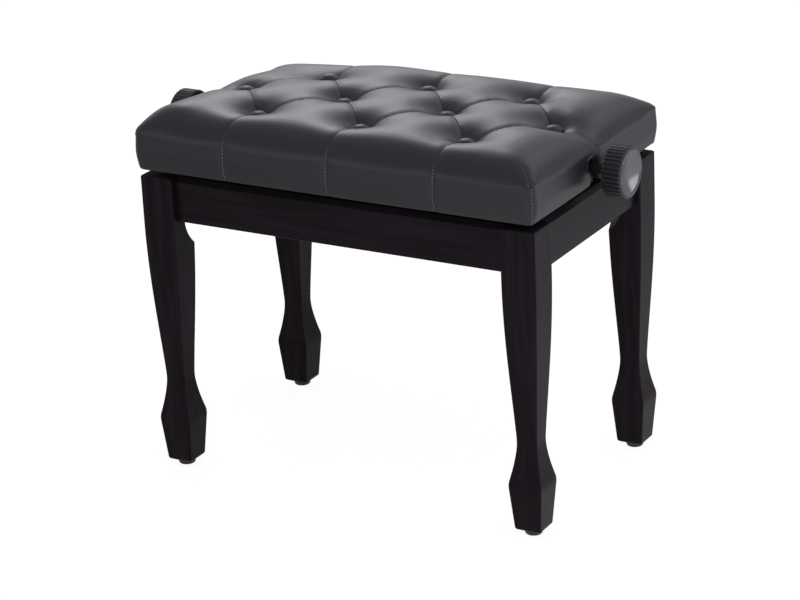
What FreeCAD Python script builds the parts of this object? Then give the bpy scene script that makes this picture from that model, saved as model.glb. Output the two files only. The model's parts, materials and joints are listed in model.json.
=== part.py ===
import FreeCAD, Part
import math
import os
import re
import Sketcher

# Adjustable piano bench, at its lowest setting. Millimetres, +Z up, floor at z = 0.
# X runs along the bench from knob to knob, and the front is on the -Y side.
# A screw rod under the seat draws a crossbar nut along, and the nut opens a scissor lift.

Vector = FreeCAD.Vector
Rotation = FreeCAD.Rotation
Placement = FreeCAD.Placement

SIZES = (
    ("base_length", 550.0, "length over the legs"),
    ("base_depth", 331.0, "depth over the legs"),
    ("base_height", 395.5, "floor to the top of the legs and aprons"),
    ("leg_width", 45.5, "side of the square leg at its top"),
    ("leg_arris", 2.2, "cut-off along the leg's edges"),
    ("ankle_width", 27.0, "side of the leg at its ankle"),
    ("ankle_height", 122.0, "floor to the ankle"),
    ("spade_width", 42.4, "side of the spade foot at its shoulder"),
    ("spade_height", 66.0, "floor to the spade's shoulder"),
    ("toe_width", 34.4, "side of the spade foot at its lower end"),
    ("corner_cut", 21.0, "cut across the leg's inner corner, behind the aprons"),
    ("corner_runout", 41.0, "length of the curve that ends the corner cut"),
    ("apron_height", 58.0, "height of the aprons"),
    ("apron_thick", 15.0, "thickness of the aprons"),
    ("apron_arris", 1.5, "cut-off along the aprons' lower edges"),
    ("front_recess", 10.0, "front and back aprons behind the legs' faces"),
    ("side_recess", 6.0, "end aprons behind the legs' faces"),
    ("glide_diameter", 22.0, "floor glide"),
    ("glide_height", 8.5, "floor glide, without its pin"),
    ("glide_round", 2.4, "cut-off round the glide's lower edge"),
    ("glide_pin_diameter", 5.0, "pin of the floor glide"),
    ("glide_pin_length", 14.0, "pin of the floor glide inside the leg"),
    ("block_thick", 20.0, "corner block"),
    ("block_height", 50.0, "corner block"),
    ("block_gap", 3.0, "corner block to the leg's corner cut"),
    ("bolt_diameter", 8.0, "leg bolt"),
    ("bolt_depth", 16.0, "leg bolt inside the leg"),
    ("bolt_tail", 3.0, "leg bolt beyond its nut"),
    ("washer_diameter", 18.0, "leg bolt's washer"),
    ("washer_thick", 1.6, "leg bolt's washer"),
    ("nut_radius", 7.5, "leg bolt's hexagon nut, to its corners"),
    ("nut_height", 6.5, "leg bolt's hexagon nut"),
    ("fit_gap", 0.1, "round clearance between pieces that are fixed together"),
    ("running_gap", 0.05, "round clearance between pieces that turn on each other"),
    ("face_gap", 0.1, "clearance between flat faces that rub"),
    ("slide_gap", 0.4, "clearance round a sleeve in its channel"),
    ("end_gap", 0.5, "clearance at the ends of a sleeve or shaft"),
    ("cut_over", 1.0, "how far a cut runs past the faces that it opens"),
    ("rod_height", 19.2, "screw rod and upper pivots above the hem"),
    ("lower_pivot_height", 45.5, "lower pivots above the aprons' lower edge"),
    ("arm_span", 320.0, "scissor arm from end pivot to end pivot"),
    ("arm_width", 22.0, "scissor arm"),
    ("arm_thick", 4.0, "scissor arm"),
    ("arm_gap", 1.0, "space between the outer and the inner arm"),
    ("arm_clearance", 2.0, "channel edge to the outer arm"),
    ("pivot_diameter", 10.0, "pivot pins and shaft ends"),
    ("shoulder_diameter", 14.0, "shoulder of a pivot pin and neck of a sleeve"),
    ("pin_head_diameter", 17.0, "head of a pivot pin"),
    ("pin_head_thick", 1.8, "head of a pivot pin"),
    ("rail_height", 24.0, "steel channel, outside"),
    ("rail_wall", 2.5, "steel channel"),
    ("rail_overhang", 18.0, "steel channel beyond the end pivots"),
    ("upper_rail_depth", 14.0, "upper channel, web to edge"),
    ("shaft_diameter", 12.0, "lower cross shaft between the arms"),
    ("crossbar_diameter", 22.0, "crossbar nut and its threaded boss"),
    ("boss_length", 36.0, "threaded boss of the crossbar nut"),
    ("screw_diameter", 4.0, "wood screw"),
    ("screw_depth", 9.0, "wood screw inside the wood"),
    ("screw_head_diameter", 8.0, "wood screw"),
    ("screw_head_thick", 2.4, "wood screw"),
    ("screw_spacing", 85.0, "between wood screws in a channel"),
    ("screw_shift", 25.0, "middle channel screw, away from the sliding end"),
    ("plate_screw_spacing", 44.0, "between the screws of a bearing plate"),
    ("seat_overhang", 0.5, "seat cover beyond the legs' faces"),
    ("shoulder_height", 7.3, "edge where the seat's sides end, above the seat board"),
    ("hem_height", 9.0, "hem of the seat cover above the base"),
    ("hem_tuck", 2.0, "seat frame above the hem"),
    ("padding_thick", 12.0, "padding on the seat's sides"),
    ("board_thick", 12.0, "plywood seat board"),
    ("frame_thick", 18.0, "wooden rails under the seat board"),
    ("button_pitch", 146.0, "between buttons in a row"),
    ("button_row", 85.0, "between rows of buttons"),
    ("button_diameter", 24.0, "covered button"),
    ("button_height", 6.0, "covered button"),
    ("button_rim", 2.4, "covered button at its edge"),
    ("button_seat", 18.3, "underside of the buttons above the seat board"),
    ("button_margin", 1.0, "hollow round a button"),
    ("seam_height", 26.3, "bottom of a seam between buttons, above the seat board"),
    ("seam_width", 4.0, "bottom of a seam"),
    ("dimple_depth", 5.0, "seam's extra depth at a button"),
    ("dimple_reach", 13.0, "how far a button draws its seam down"),
    ("pillow_rise", 7.0, "swell of a pillow above its seams"),
    ("edge_width", 26.0, "rounding along the seat's front and back edges"),
    ("edge_rise", 18.0, "height of that rounding"),
    ("edge_swell", 6.0, "swell of that rounding"),
    ("end_round", 58.0, "rounding at the seat's ends"),
    ("corner_round", 9.0, "rounding of the seat's upright corners"),
    ("seam_draw", 3.0, "how far a seam draws the side in"),
    ("hem_draw", 5.0, "how far the hem is drawn in"),
    ("notch_width", 20.0, "opening in the hem for the rod"),
    ("notch_flare", 14.0, "how far that opening widens at the hem"),
    ("plate_thick", 3.0, "bearing plate"),
    ("plate_width", 60.0, "bearing plate"),
    ("bush_diameter", 16.0, "body of the rod's bush"),
    ("bush_length", 12.0, "body of the rod's bush"),
    ("flange_diameter", 22.0, "flange of the rod's bush"),
    ("flange_thick", 2.0, "flange of the rod's bush"),
    ("rod_diameter", 14.0, "screw rod, over its thread"),
    ("journal_diameter", 12.0, "screw rod in its bushes and knobs"),
    ("collar_diameter", 24.0, "thrust collar"),
    ("collar_length", 10.0, "thrust collar"),
    ("thrust_gap", 0.3, "thrust collar to bush"),
    ("knob_gap", 20.5, "seat cover to the back of a knob"),
    ("knob_diameter", 64.5, "turning knob, over its ribs"),
    ("knob_thick", 25.0, "turning knob"),
    ("knob_bevel", 2.5, "front edge of the knob"),
    ("knob_back_bevel", 1.5, "back edge of the knob"),
    ("knob_grooves", 36, "grooves round the knob"),
    ("groove_depth", 1.6, "groove of the knob"),
    ("groove_width", 3.8, "groove of the knob, at the rim"),
    ("knob_face_wall", 9.0, "knob's face to the end of the rod"),
    ("hub_diameter", 22.0, "knob's hub"),
    ("hub_length", 9.0, "knob's hub behind the knob"),
    ("cap_diameter", 57.0, "dished cap in the knob's face"),
    ("cap_depth", 4.0, "recess for the cap"),
    ("cap_rim", 2.5, "rim round the cap's dish"),
    ("dish_depth", 2.5, "dish of the cap"),
    ("knob_pin_diameter", 4.0, "cross pin through hub and rod"),
)

doc = FreeCAD.newDocument("piano_bench")
sheet = doc.addObject("Spreadsheet::Sheet", "Sizes")
for row, (alias, value, meaning) in enumerate(SIZES, 1):
    sheet.set(f"A{row}", meaning)
    sheet.set(f"B{row}", str(value))
    sheet.setAlias(f"B{row}", alias)
doc.recompute()

ALIASES = {alias for alias, value, meaning in SIZES}
CORNERS = {"front_left": (-1, -1), "front_right": (1, -1), "back_left": (-1, 1), "back_right": (1, 1)}
SIDES = {"front": -1, "back": 1}
ENDS = {"left": -1, "right": 1}
SUB_PARTS = []

# Places that several pieces share, as expressions on the sizes.
APRON_BOTTOM = "(base_height - apron_height)"
APRON_FRONT = "(base_depth / 2 - front_recess)"
APRON_END = "(base_length / 2 - side_recess)"
INNER_FRONT = f"({APRON_FRONT} - apron_thick)"
INNER_END = f"({APRON_END} - apron_thick)"
SEAT_END = "(base_length / 2 + seat_overhang)"
SEAT_FRONT = "(base_depth / 2 + seat_overhang)"
LEG_X = "(base_length / 2 - leg_width / 2)"
LEG_Y = "(base_depth / 2 - leg_width / 2)"
BOLT_HEIGHT = "(base_height - apron_height / 2)"
HEM = "(base_height + hem_height)"
ROD = f"({HEM} + rod_height)"
LOWER_PIVOT = f"({APRON_BOTTOM} + lower_pivot_height)"
PIVOT_RISE = f"({ROD} - {LOWER_PIVOT})"
HALF_SPAN = f"(sqrt(pow(arm_span, 2) - pow({PIVOT_RISE}, 2)) / 2)"
BOX_END = f"({SEAT_END} - padding_thick)"
BOX_FRONT = f"({SEAT_FRONT} - padding_thick)"
FRAME_END = f"({BOX_END} - frame_thick)"
FRAME_FRONT = f"({BOX_FRONT} - frame_thick)"
FRAME_BOTTOM = f"({HEM} + hem_tuck)"
BOARD_UNDER = f"({ROD} + rail_height / 2)"
BOARD_TOP = f"({BOARD_UNDER} + board_thick)"
SHOULDER = f"({BOARD_TOP} + shoulder_height)"
SEAM = f"({BOARD_TOP} + seam_height)"
BUTTON_SEAT = f"({BOARD_TOP} + button_seat)"
RAIL_EDGE = f"({FRAME_FRONT} - upper_rail_depth)"
OUTER_ARM_FACE = f"({RAIL_EDGE} - arm_clearance)"
OUTER_ARM_BACK = f"({OUTER_ARM_FACE} - arm_thick)"
INNER_ARM_FACE = f"({OUTER_ARM_BACK} - arm_gap)"
INNER_ARM_BACK = f"({INNER_ARM_FACE} - arm_thick)"
PLATE_FACE = f"({FRAME_END} - plate_thick)"
ROD_SHOULDER = f"({PLATE_FACE} - flange_thick - thrust_gap)"
KNOB_BACK = f"({SEAT_END} + knob_gap)"
KNOB_FACE = f"({KNOB_BACK} + knob_thick)"
ROD_END = f"({KNOB_FACE} - knob_face_wall)"
KNOB_PIN_X = f"({KNOB_BACK} - hub_length / 2)"


def formula(text):
    """Point every size name in an expression at its cell in the sheet."""
    def cell(word):
        return f"Sizes.{word[0]}" if word[0] in ALIASES else word[0]

    return re.sub(r"[a-z][a-z_]+", cell, str(text))


def mm(text):
    """The value of an expression on the sizes."""
    return float(sheet.evalExpression(formula(text)))


def bind(feature, **sizes):
    """Tie a feature's properties to expressions on the sizes."""
    for name, text in sizes.items():
        feature.setExpression(name, formula(text))


def place(feature, x, y, z, rotation=Rotation()):
    """Turn a feature, and tie its position to expressions on the sizes."""
    feature.Placement = Placement(Vector(), rotation)
    for axis, text in zip("xyz", (x, y, z)):
        feature.setExpression(f"Placement.Base.{axis}", formula(text))


def towards(x, y, z):
    """The turn that takes +Z to a direction."""
    return Rotation(Vector(0, 0, 1), Vector(x, y, z))


def sub_part(feature, label):
    """Name a finished feature as one sub-part of the bench."""
    feature.Label = label
    SUB_PARTS.append(feature)
    return feature


def box(name, length, width, height, x, y, z):
    """A block with its middle over x, y and its underside at z."""
    block = doc.addObject("Part::Box", name)
    bind(block, Length=length, Width=width, Height=height)
    place(block, f"{x} - ({length}) / 2", f"{y} - ({width}) / 2", z)
    return block


def drill(name, diameter, length, x, y, z, rotation):
    """A round bar that starts at x, y, z and runs along the turned +Z axis."""
    bar = doc.addObject("Part::Cylinder", name)
    bind(bar, Radius=f"({diameter}) / 2", Height=length)
    place(bar, x, y, z, rotation)
    return bar


def bored(name, solid, drills):
    """A solid with every drill taken out of it."""
    tools = doc.addObject("Part::Compound", name + "_drills")
    tools.Links = drills
    cut = doc.addObject("Part::Cut", name)
    cut.Base = solid
    cut.Tool = tools
    return cut


def group(name, solids):
    """Like pieces that share one sub-part."""
    compound = doc.addObject("Part::Compound", name)
    compound.Links = solids
    return compound


def own_plane(body, role):
    """One of a body's own origin planes or axes."""
    return next(item for item in body.Origin.OriginFeatures if item.Role == role)


def new_sketch(body, role):
    """An empty sketch on one of the body's own planes."""
    sketch = body.newObject("Sketcher::SketchObject", body.Name + "_sketch")
    sketch.AttachmentSupport = [(own_plane(body, role), "")]
    sketch.MapMode = "FlatFace"
    return sketch


def dimension(sketch, kind, geometry, point, text):
    """Tie a point's distance from the origin along one axis to an expression."""
    index = sketch.addConstraint(Sketcher.Constraint(kind, -1, 1, geometry, point, mm(text)))
    sketch.setExpression(f"Constraints[{index}]", formula(text))


def outline(body, role, corners):
    """A closed sketch of straight sides, each corner a pair of expressions on the sizes."""
    sketch = new_sketch(body, role)
    points = [Vector(mm(u), mm(v), 0) for u, v in corners]
    for start, end in zip(points, points[1:] + points[:1]):
        sketch.addGeometry(Part.LineSegment(start, end))
    last = len(corners) - 1
    for side, (u, v) in enumerate(corners):
        sketch.addConstraint(Sketcher.Constraint("Coincident", side - 1 if side else last, 2, side, 1))
        dimension(sketch, "DistanceX", side, 1, u)
        dimension(sketch, "DistanceY", side, 1, v)
    return sketch


def extruded(name, role, corners, length, both_ways=True):
    """A straight-sided outline padded to a length."""
    body = doc.addObject("PartDesign::Body", name)
    pad = body.newObject("PartDesign::Pad", name + "_pad")
    pad.Profile = outline(body, role, corners)
    pad.Midplane = both_ways
    bind(pad, Length=length)
    return body


def turned(name, corners):
    """A half outline of radius and height pairs, turned about the body's Z axis."""
    body = doc.addObject("PartDesign::Body", name)
    sketch = outline(body, "XZ_Plane", corners)
    turn = body.newObject("PartDesign::Revolution", name + "_turn")
    turn.Profile = sketch
    turn.ReferenceAxis = (sketch, ["V_Axis"])
    turn.Angle = 360
    return body


def ring(name, inner, outer, start, end):
    """A turned ring between two diameters and two heights."""
    low, high = f"({inner}) / 2", f"({outer}) / 2"
    return turned(name, [(low, start), (high, start), (high, end), (low, end)])


def shape_feature(name, shape):
    """A feature whose shape is lofted from the sizes."""
    feature = doc.addObject("Part::Feature", name)
    feature.Shape = shape
    return feature


# Legs: square sections lofted up a curve, with the inner corner cut for the leg bolt.

def leg_section(width, height):
    """A square with its corners cut off, round the leg's axis."""
    half = width / 2
    flat = half - mm("leg_arris")
    quarter = [Vector(half, flat, height), Vector(flat, half, height)]
    turns = [Placement(Vector(), Rotation(Vector(0, 0, 1), 90 * step)) for step in range(4)]
    points = [turn.multVec(point) for turn in turns for point in quarter]
    return Part.makePolygon(points + points[:1])


def leg_shaft():
    """The leg's curve: an S from the spade's shoulder in to the ankle, then a swelling taper to the block."""
    spade, shoulder = mm("spade_width"), mm("spade_height")
    ankle, waist = mm("ankle_width"), mm("ankle_height")
    block, top = mm("leg_width"), mm(APRON_BOTTOM)
    flare_steps, taper_steps = 5, 7
    flare_power, taper_power = 1.1, 1.15
    sections = []
    for step in range(flare_steps):
        way = 1 - step / flare_steps
        swell = ((1 - math.cos(math.pi * way)) / 2) ** flare_power
        sections.append(leg_section(ankle + (spade - ankle) * swell, waist - (waist - shoulder) * way))
    for step in range(taper_steps + 1):
        way = step / taper_steps
        swell = math.sin(math.pi / 2 * way) ** taper_power
        sections.append(leg_section(ankle + (block - ankle) * swell, waist + (top - waist) * way))
    return Part.makeLoft(sections, True, False)


def corner_cutter(inward):
    """What is cut from the leg's inner corner: flat behind the aprons, with a curved run-out below them."""
    flat = (mm("leg_width") - mm("corner_cut")) / math.sqrt(2)
    depth = mm("corner_cut") / math.sqrt(2)
    runout = mm("corner_runout")
    radius = (depth ** 2 + runout ** 2) / (2 * depth)
    sweep = math.asin(runout / radius)
    bottom = mm(APRON_BOTTOM)
    top = mm("base_height + cut_over")

    def point(reach, height):
        return inward * reach + Vector(0, 0, height)

    def on_curve(angle):
        return point(flat + radius * (1 - math.cos(angle)), bottom - radius * math.sin(angle))

    curve = Part.Arc(on_curve(0), on_curve(sweep / 2), on_curve(sweep)).toShape()
    rest = Part.makePolygon([on_curve(sweep), point(flat + depth, top), point(flat, top), on_curve(0)])
    across = inward.cross(Vector(0, 0, 1)) * mm("leg_width")
    face = Part.Face(Part.Wire([curve] + rest.Edges))
    face.translate(across * -0.5)
    return face.extrude(across)


def leg_shape(inward):
    """One leg round its own axis, with its corner cut, bolt hole and glide hole."""
    foot = Part.makeLoft([leg_section(mm("toe_width"), mm("glide_height")),
                          leg_section(mm("spade_width"), mm("spade_height"))], True, True)
    block = Part.makeLoft([leg_section(mm("leg_width"), mm(APRON_BOTTOM)),
                           leg_section(mm("leg_width"), mm("base_height"))], True, True)
    cut_face = (mm("leg_width") - mm("corner_cut")) / math.sqrt(2)
    bolt_start = inward * (cut_face - mm("bolt_depth")) + Vector(0, 0, mm(BOLT_HEIGHT))
    bolt_hole = Part.makeCylinder(mm("bolt_diameter / 2 + fit_gap"), mm("leg_width"), bolt_start, inward)
    glide_hole = Part.makeCylinder(mm("glide_pin_diameter / 2 + fit_gap"),
                                   mm("glide_height + glide_pin_length"))
    leg = foot.fuse([leg_shaft(), block]).removeSplitter()
    return leg.cut([corner_cutter(inward), bolt_hole, glide_hole])


for corner, (side_x, side_y) in CORNERS.items():
    leg = shape_feature(f"leg_{corner}", leg_shape(Vector(-side_x, -side_y, 0).normalize()))
    place(leg, f"{side_x} * {LEG_X}", f"{side_y} * {LEG_Y}", 0)
    sub_part(leg, f"leg_{corner}")
    glide = turned(f"floor_glide_{corner}", [
        (0, 0),
        ("glide_diameter / 2 - glide_round", 0),
        ("glide_diameter / 2", "glide_round"),
        ("glide_diameter / 2", "glide_height"),
        ("glide_pin_diameter / 2", "glide_height"),
        ("glide_pin_diameter / 2", "glide_height + glide_pin_length"),
        (0, "glide_height + glide_pin_length"),
    ])
    place(glide, f"{side_x} * {LEG_X}", f"{side_y} * {LEG_Y}", 0)
    sub_part(glide, f"floor_glide_{corner}")


# Aprons: boards with softened lower edges, drilled for the channel screws.

def apron_corners(face, inner, sign):
    """Section of an apron across its thickness and height."""
    return [
        (f"{sign} * ({face})", "base_height"),
        (f"{sign} * ({inner})", "base_height"),
        (f"{sign} * ({inner})", f"{APRON_BOTTOM} + apron_arris"),
        (f"{sign} * ({inner} + apron_arris)", APRON_BOTTOM),
        (f"{sign} * ({face} - apron_arris)", APRON_BOTTOM),
        (f"{sign} * ({face})", f"{APRON_BOTTOM} + apron_arris"),
    ]


SCREW_PLACES = [f"({step} * screw_spacing - screw_shift)" for step in (-1, 0, 1)]
SCREW_HOLE = "screw_diameter + 2 * fit_gap"
PIVOT_HOLE = "pivot_diameter + 2 * fit_gap"

for end, sign in ENDS.items():
    corners = apron_corners(APRON_END, INNER_END, sign)
    sub_part(extruded(f"apron_{end}", "XZ_Plane", corners, "base_depth - 2 * leg_width"), f"apron_{end}")

for side, sign in SIDES.items():
    corners = apron_corners(APRON_FRONT, INNER_FRONT, sign)
    board = extruded(f"apron_{side}_board", "YZ_Plane", corners, "base_length - 2 * leg_width")
    holes = [drill(f"apron_{side}_hole_{number}", SCREW_HOLE, "screw_depth + fit_gap", x,
                   f"{sign} * {INNER_FRONT}", LOWER_PIVOT, towards(0, sign, 0))
             for number, x in enumerate(SCREW_PLACES)]
    sub_part(bored(f"apron_{side}", board, holes), f"apron_{side}")


# Corner blocks with the bolts, washers and nuts that hold the legs.

CUT_SUM = "(base_length / 2 + base_depth / 2 - 2 * leg_width + corner_cut)"
BLOCK_OUTER = f"({CUT_SUM} - block_gap * sqrt(2))"
BLOCK_INNER = f"({CUT_SUM} - (block_gap + block_thick) * sqrt(2))"
BOLT_X = "(base_length / 2 - leg_width + corner_cut / 2)"
BOLT_Y = "(base_depth / 2 - leg_width + corner_cut / 2)"


def along_bolt(corner, reach):
    """A place on a corner's bolt, measured inwards from the leg's corner cut."""
    side_x, side_y = CORNERS[corner]
    return (f"{side_x} * ({BOLT_X} - ({reach}) / sqrt(2))", f"{side_y} * ({BOLT_Y} - ({reach}) / sqrt(2))",
            BOLT_HEIGHT)


WASHER_AT = "(block_gap + block_thick)"
NUT_AT = f"({WASHER_AT} + washer_thick)"
bolts, washers, nuts = [], [], []
for corner, (side_x, side_y) in CORNERS.items():
    inward = towards(-side_x, -side_y, 0)
    block = extruded(f"corner_block_{corner}_blank", "XY_Plane", [
        (f"{side_x} * ({BLOCK_OUTER} - {INNER_FRONT})", f"{side_y} * {INNER_FRONT}"),
        (f"{side_x} * {INNER_END}", f"{side_y} * ({BLOCK_OUTER} - {INNER_END})"),
        (f"{side_x} * {INNER_END}", f"{side_y} * ({BLOCK_INNER} - {INNER_END})"),
        (f"{side_x} * ({BLOCK_INNER} - {INNER_FRONT})", f"{side_y} * {INNER_FRONT}"),
    ], "block_height")
    place(block, 0, 0, BOLT_HEIGHT)
    hole = drill(f"corner_block_{corner}_hole", "bolt_diameter + 4 * fit_gap", "block_thick + 2 * block_gap",
                 *along_bolt(corner, 0), inward)
    sub_part(bored(f"corner_block_{corner}", block, [hole]), f"corner_block_{corner}")
    bolts.append(drill(f"leg_bolt_{corner}", "bolt_diameter",
                       f"bolt_depth + {NUT_AT} + nut_height + bolt_tail",
                       *along_bolt(corner, "-bolt_depth"), inward))
    washer = ring(f"leg_washer_{corner}", "bolt_diameter + 2 * fit_gap", "washer_diameter", 0, "washer_thick")
    place(washer, *along_bolt(corner, WASHER_AT), inward)
    washers.append(washer)
    hexagon = doc.addObject("Part::Prism", f"leg_nut_{corner}_blank")
    hexagon.Polygon = 6
    bind(hexagon, Circumradius="nut_radius", Height="nut_height")
    place(hexagon, *along_bolt(corner, NUT_AT), inward)
    thread = drill(f"leg_nut_{corner}_hole", "bolt_diameter + 2 * fit_gap", "nut_height",
                   *along_bolt(corner, NUT_AT), inward)
    nuts.append(bored(f"leg_nut_{corner}", hexagon, [thread]))
sub_part(group("leg_bolts", bolts), "leg_bolts")
sub_part(group("leg_washers", washers), "leg_washers")
sub_part(group("leg_nuts", nuts), "leg_nuts")


# Steel channels: the lower pair on the aprons, the upper pair under the seat.

def channel(name, sign, back, middle):
    """A channel that opens towards the arms, from its back at one depth to the shared edge line."""
    low, high = f"({middle} - rail_height / 2)", f"({middle} + rail_height / 2)"
    web = f"({back} - rail_wall)"
    return extruded(name, "YZ_Plane", [
        (f"{sign} * {back}", low),
        (f"{sign} * {back}", high),
        (f"{sign} * {RAIL_EDGE}", high),
        (f"{sign} * {RAIL_EDGE}", f"{high} - rail_wall"),
        (f"{sign} * {web}", f"{high} - rail_wall"),
        (f"{sign} * {web}", f"{low} + rail_wall"),
        (f"{sign} * {RAIL_EDGE}", f"{low} + rail_wall"),
        (f"{sign} * {RAIL_EDGE}", low),
    ], f"2 * {HALF_SPAN} + 2 * rail_overhang")


def wood_screw(name, x, y, z, direction):
    """A pan-head screw whose head rests on x, y, z and whose point goes along a direction."""
    screw = turned(name, [
        (0, "-screw_head_thick"),
        ("screw_head_diameter / 2", "-screw_head_thick"),
        ("screw_head_diameter / 2", 0),
        ("screw_diameter / 2", 0),
        ("screw_diameter / 2", "rail_wall + screw_depth"),
        (0, "rail_wall + screw_depth"),
    ])
    place(screw, x, y, z, towards(*direction))
    return screw


def pivot_pin(name, sign, back, arm_face, height):
    """A shouldered pin from the channel's back, through an arm, to a head on the arm's far side."""
    reach = f"({back} - {arm_face})"
    pivot, shoulder, head = "pivot_diameter / 2", "shoulder_diameter / 2", "pin_head_diameter / 2"
    far = f"{reach} + arm_thick + face_gap"
    pin = turned(name, [
        (0, 0),
        (pivot, 0),
        (pivot, "rail_wall"),
        (shoulder, "rail_wall"),
        (shoulder, f"{reach} - face_gap"),
        (pivot, f"{reach} - face_gap"),
        (pivot, far),
        (head, far),
        (head, f"{far} + pin_head_thick"),
        (0, f"{far} + pin_head_thick"),
    ])
    place(pin, f"-{HALF_SPAN}", f"{sign} * {back}", height, towards(0, -sign, 0))
    return pin


lower_screws, upper_screws, lower_pins, upper_pins = [], [], [], []
for side, sign in SIDES.items():
    lower = channel(f"lower_rail_{side}_blank", sign, INNER_FRONT, LOWER_PIVOT)
    lower_web = f"{sign} * ({INNER_FRONT} - rail_wall)"
    upper = channel(f"upper_rail_{side}_blank", sign, FRAME_FRONT, ROD)
    upper_middle = f"{sign} * ({RAIL_EDGE} + (upper_rail_depth - rail_wall) / 2)"
    flange_under = f"({BOARD_UNDER} - rail_wall)"
    outward = towards(0, sign, 0)
    lower_drills = [drill(f"lower_rail_{side}_pivot", PIVOT_HOLE, "rail_wall", f"-{HALF_SPAN}", lower_web,
                          LOWER_PIVOT, outward)]
    upper_drills = [drill(f"upper_rail_{side}_pivot", PIVOT_HOLE, "rail_wall", f"-{HALF_SPAN}",
                          f"{sign} * ({FRAME_FRONT} - rail_wall)", ROD, outward)]
    for number, x in enumerate(SCREW_PLACES):
        lower_drills.append(drill(f"lower_rail_{side}_hole_{number}", SCREW_HOLE, "rail_wall", x, lower_web,
                                  LOWER_PIVOT, outward))
        lower_screws.append(wood_screw(f"lower_screw_{side}_{number}", x, lower_web, LOWER_PIVOT,
                                       (0, sign, 0)))
        upper_drills.append(drill(f"upper_rail_{side}_hole_{number}", SCREW_HOLE, "rail_wall",
                                  x, upper_middle, flange_under, Rotation()))
        upper_screws.append(wood_screw(f"upper_screw_{side}_{number}", x, upper_middle, flange_under,
                                       (0, 0, 1)))
    sub_part(bored(f"lower_rail_{side}", lower, lower_drills), f"lower_rail_{side}")
    sub_part(bored(f"upper_rail_{side}", upper, upper_drills), f"upper_rail_{side}")
    lower_pins.append(pivot_pin(f"lower_pin_{side}", sign, INNER_FRONT, OUTER_ARM_FACE, LOWER_PIVOT))
    upper_pins.append(pivot_pin(f"upper_pin_{side}", sign, FRAME_FRONT, INNER_ARM_FACE, ROD))
sub_part(group("lower_rail_screws", lower_screws), "lower_rail_screws")
sub_part(group("upper_rail_screws", upper_screws), "upper_rail_screws")
sub_part(group("lower_pivot_pins", lower_pins), "lower_pivot_pins")
sub_part(group("upper_pivot_pins", upper_pins), "upper_pivot_pins")


# Scissor lift: flat arms with round ends, joined at their middles.

def arm(name):
    """A flat bar with round ends and three pivot holes, lying along X from its first pivot."""
    body = doc.addObject("PartDesign::Body", name)
    sketch = new_sketch(body, "XZ_Plane")
    span, half = mm("arm_span"), mm("arm_width / 2")
    up = Vector(0, 0, 1)
    sketch.addGeometry(Part.LineSegment(Vector(0, -half, 0), Vector(span, -half, 0)))
    sketch.addGeometry(Part.ArcOfCircle(Part.Circle(Vector(span, 0, 0), up, half), -math.pi / 2, math.pi / 2))
    sketch.addGeometry(Part.LineSegment(Vector(span, half, 0), Vector(0, half, 0)))
    sketch.addGeometry(Part.ArcOfCircle(Part.Circle(Vector(0, 0, 0), up, half), math.pi / 2, 3 * math.pi / 2))
    for side in range(4):
        sketch.addConstraint(Sketcher.Constraint("Tangent", side, 2, (side + 1) % 4, 1))
    sketch.addConstraint(Sketcher.Constraint("Coincident", 3, 3, -1, 1))
    sketch.addConstraint(Sketcher.Constraint("PointOnObject", 1, 3, -1))
    dimension(sketch, "DistanceX", 1, 3, "arm_span")
    width = sketch.addConstraint(Sketcher.Constraint("Radius", 3, half))
    sketch.setExpression(f"Constraints[{width}]", formula("arm_width / 2"))
    for hole, share in enumerate((0, 0.5, 1), 4):
        centre = f"arm_span * {share}"
        radius = mm("pivot_diameter / 2 + running_gap")
        sketch.addGeometry(Part.Circle(Vector(mm(centre), 0, 0), up, radius))
        sketch.addConstraint(Sketcher.Constraint("PointOnObject", hole, 3, -1))
        dimension(sketch, "DistanceX", hole, 3, centre)
        size = sketch.addConstraint(Sketcher.Constraint("Radius", hole, radius))
        sketch.setExpression(f"Constraints[{size}]", formula("pivot_diameter / 2 + running_gap"))
    pad = body.newObject("PartDesign::Pad", name + "_pad")
    pad.Profile = sketch
    pad.Midplane = True
    bind(pad, Length="arm_thick")
    return body


REST_ANGLE = math.degrees(math.asin(mm(PIVOT_RISE) / mm("arm_span")))
CENTRE_HEIGHT = f"(({ROD} + {LOWER_PIVOT}) / 2)"
centre_pins, centre_washers = [], []
for side, sign in SIDES.items():
    outer = arm(f"outer_arm_{side}")
    place(outer, f"-{HALF_SPAN}", f"{sign} * ({OUTER_ARM_FACE} - arm_thick / 2)", LOWER_PIVOT,
          Rotation(Vector(0, 1, 0), -REST_ANGLE))
    sub_part(outer, f"outer_arm_{side}")
    inner = arm(f"inner_arm_{side}")
    place(inner, f"-{HALF_SPAN}", f"{sign} * ({INNER_ARM_FACE} - arm_thick / 2)", ROD,
          Rotation(Vector(0, 1, 0), REST_ANGLE))
    sub_part(inner, f"inner_arm_{side}")
    grip = "pin_head_thick + 2 * arm_thick + arm_gap + 2 * face_gap"
    pin = turned(f"centre_pin_{side}", [
        (0, 0),
        ("pin_head_diameter / 2", 0),
        ("pin_head_diameter / 2", "pin_head_thick"),
        ("pivot_diameter / 2", "pin_head_thick"),
        ("pivot_diameter / 2", grip),
        ("pin_head_diameter / 2", grip),
        ("pin_head_diameter / 2", f"{grip} + pin_head_thick"),
        (0, f"{grip} + pin_head_thick"),
    ])
    place(pin, 0, f"{sign} * ({OUTER_ARM_FACE} + face_gap + pin_head_thick)", CENTRE_HEIGHT,
          towards(0, -sign, 0))
    centre_pins.append(pin)
    washer = ring(f"centre_washer_{side}", "pivot_diameter + 2 * running_gap", "pin_head_diameter",
                  "face_gap", "arm_gap - face_gap")
    place(washer, 0, f"{sign} * {OUTER_ARM_BACK}", CENTRE_HEIGHT, towards(0, -sign, 0))
    centre_washers.append(washer)
sub_part(group("centre_pins", centre_pins), "centre_pins")
sub_part(group("centre_washers", centre_washers), "centre_washers")


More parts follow.
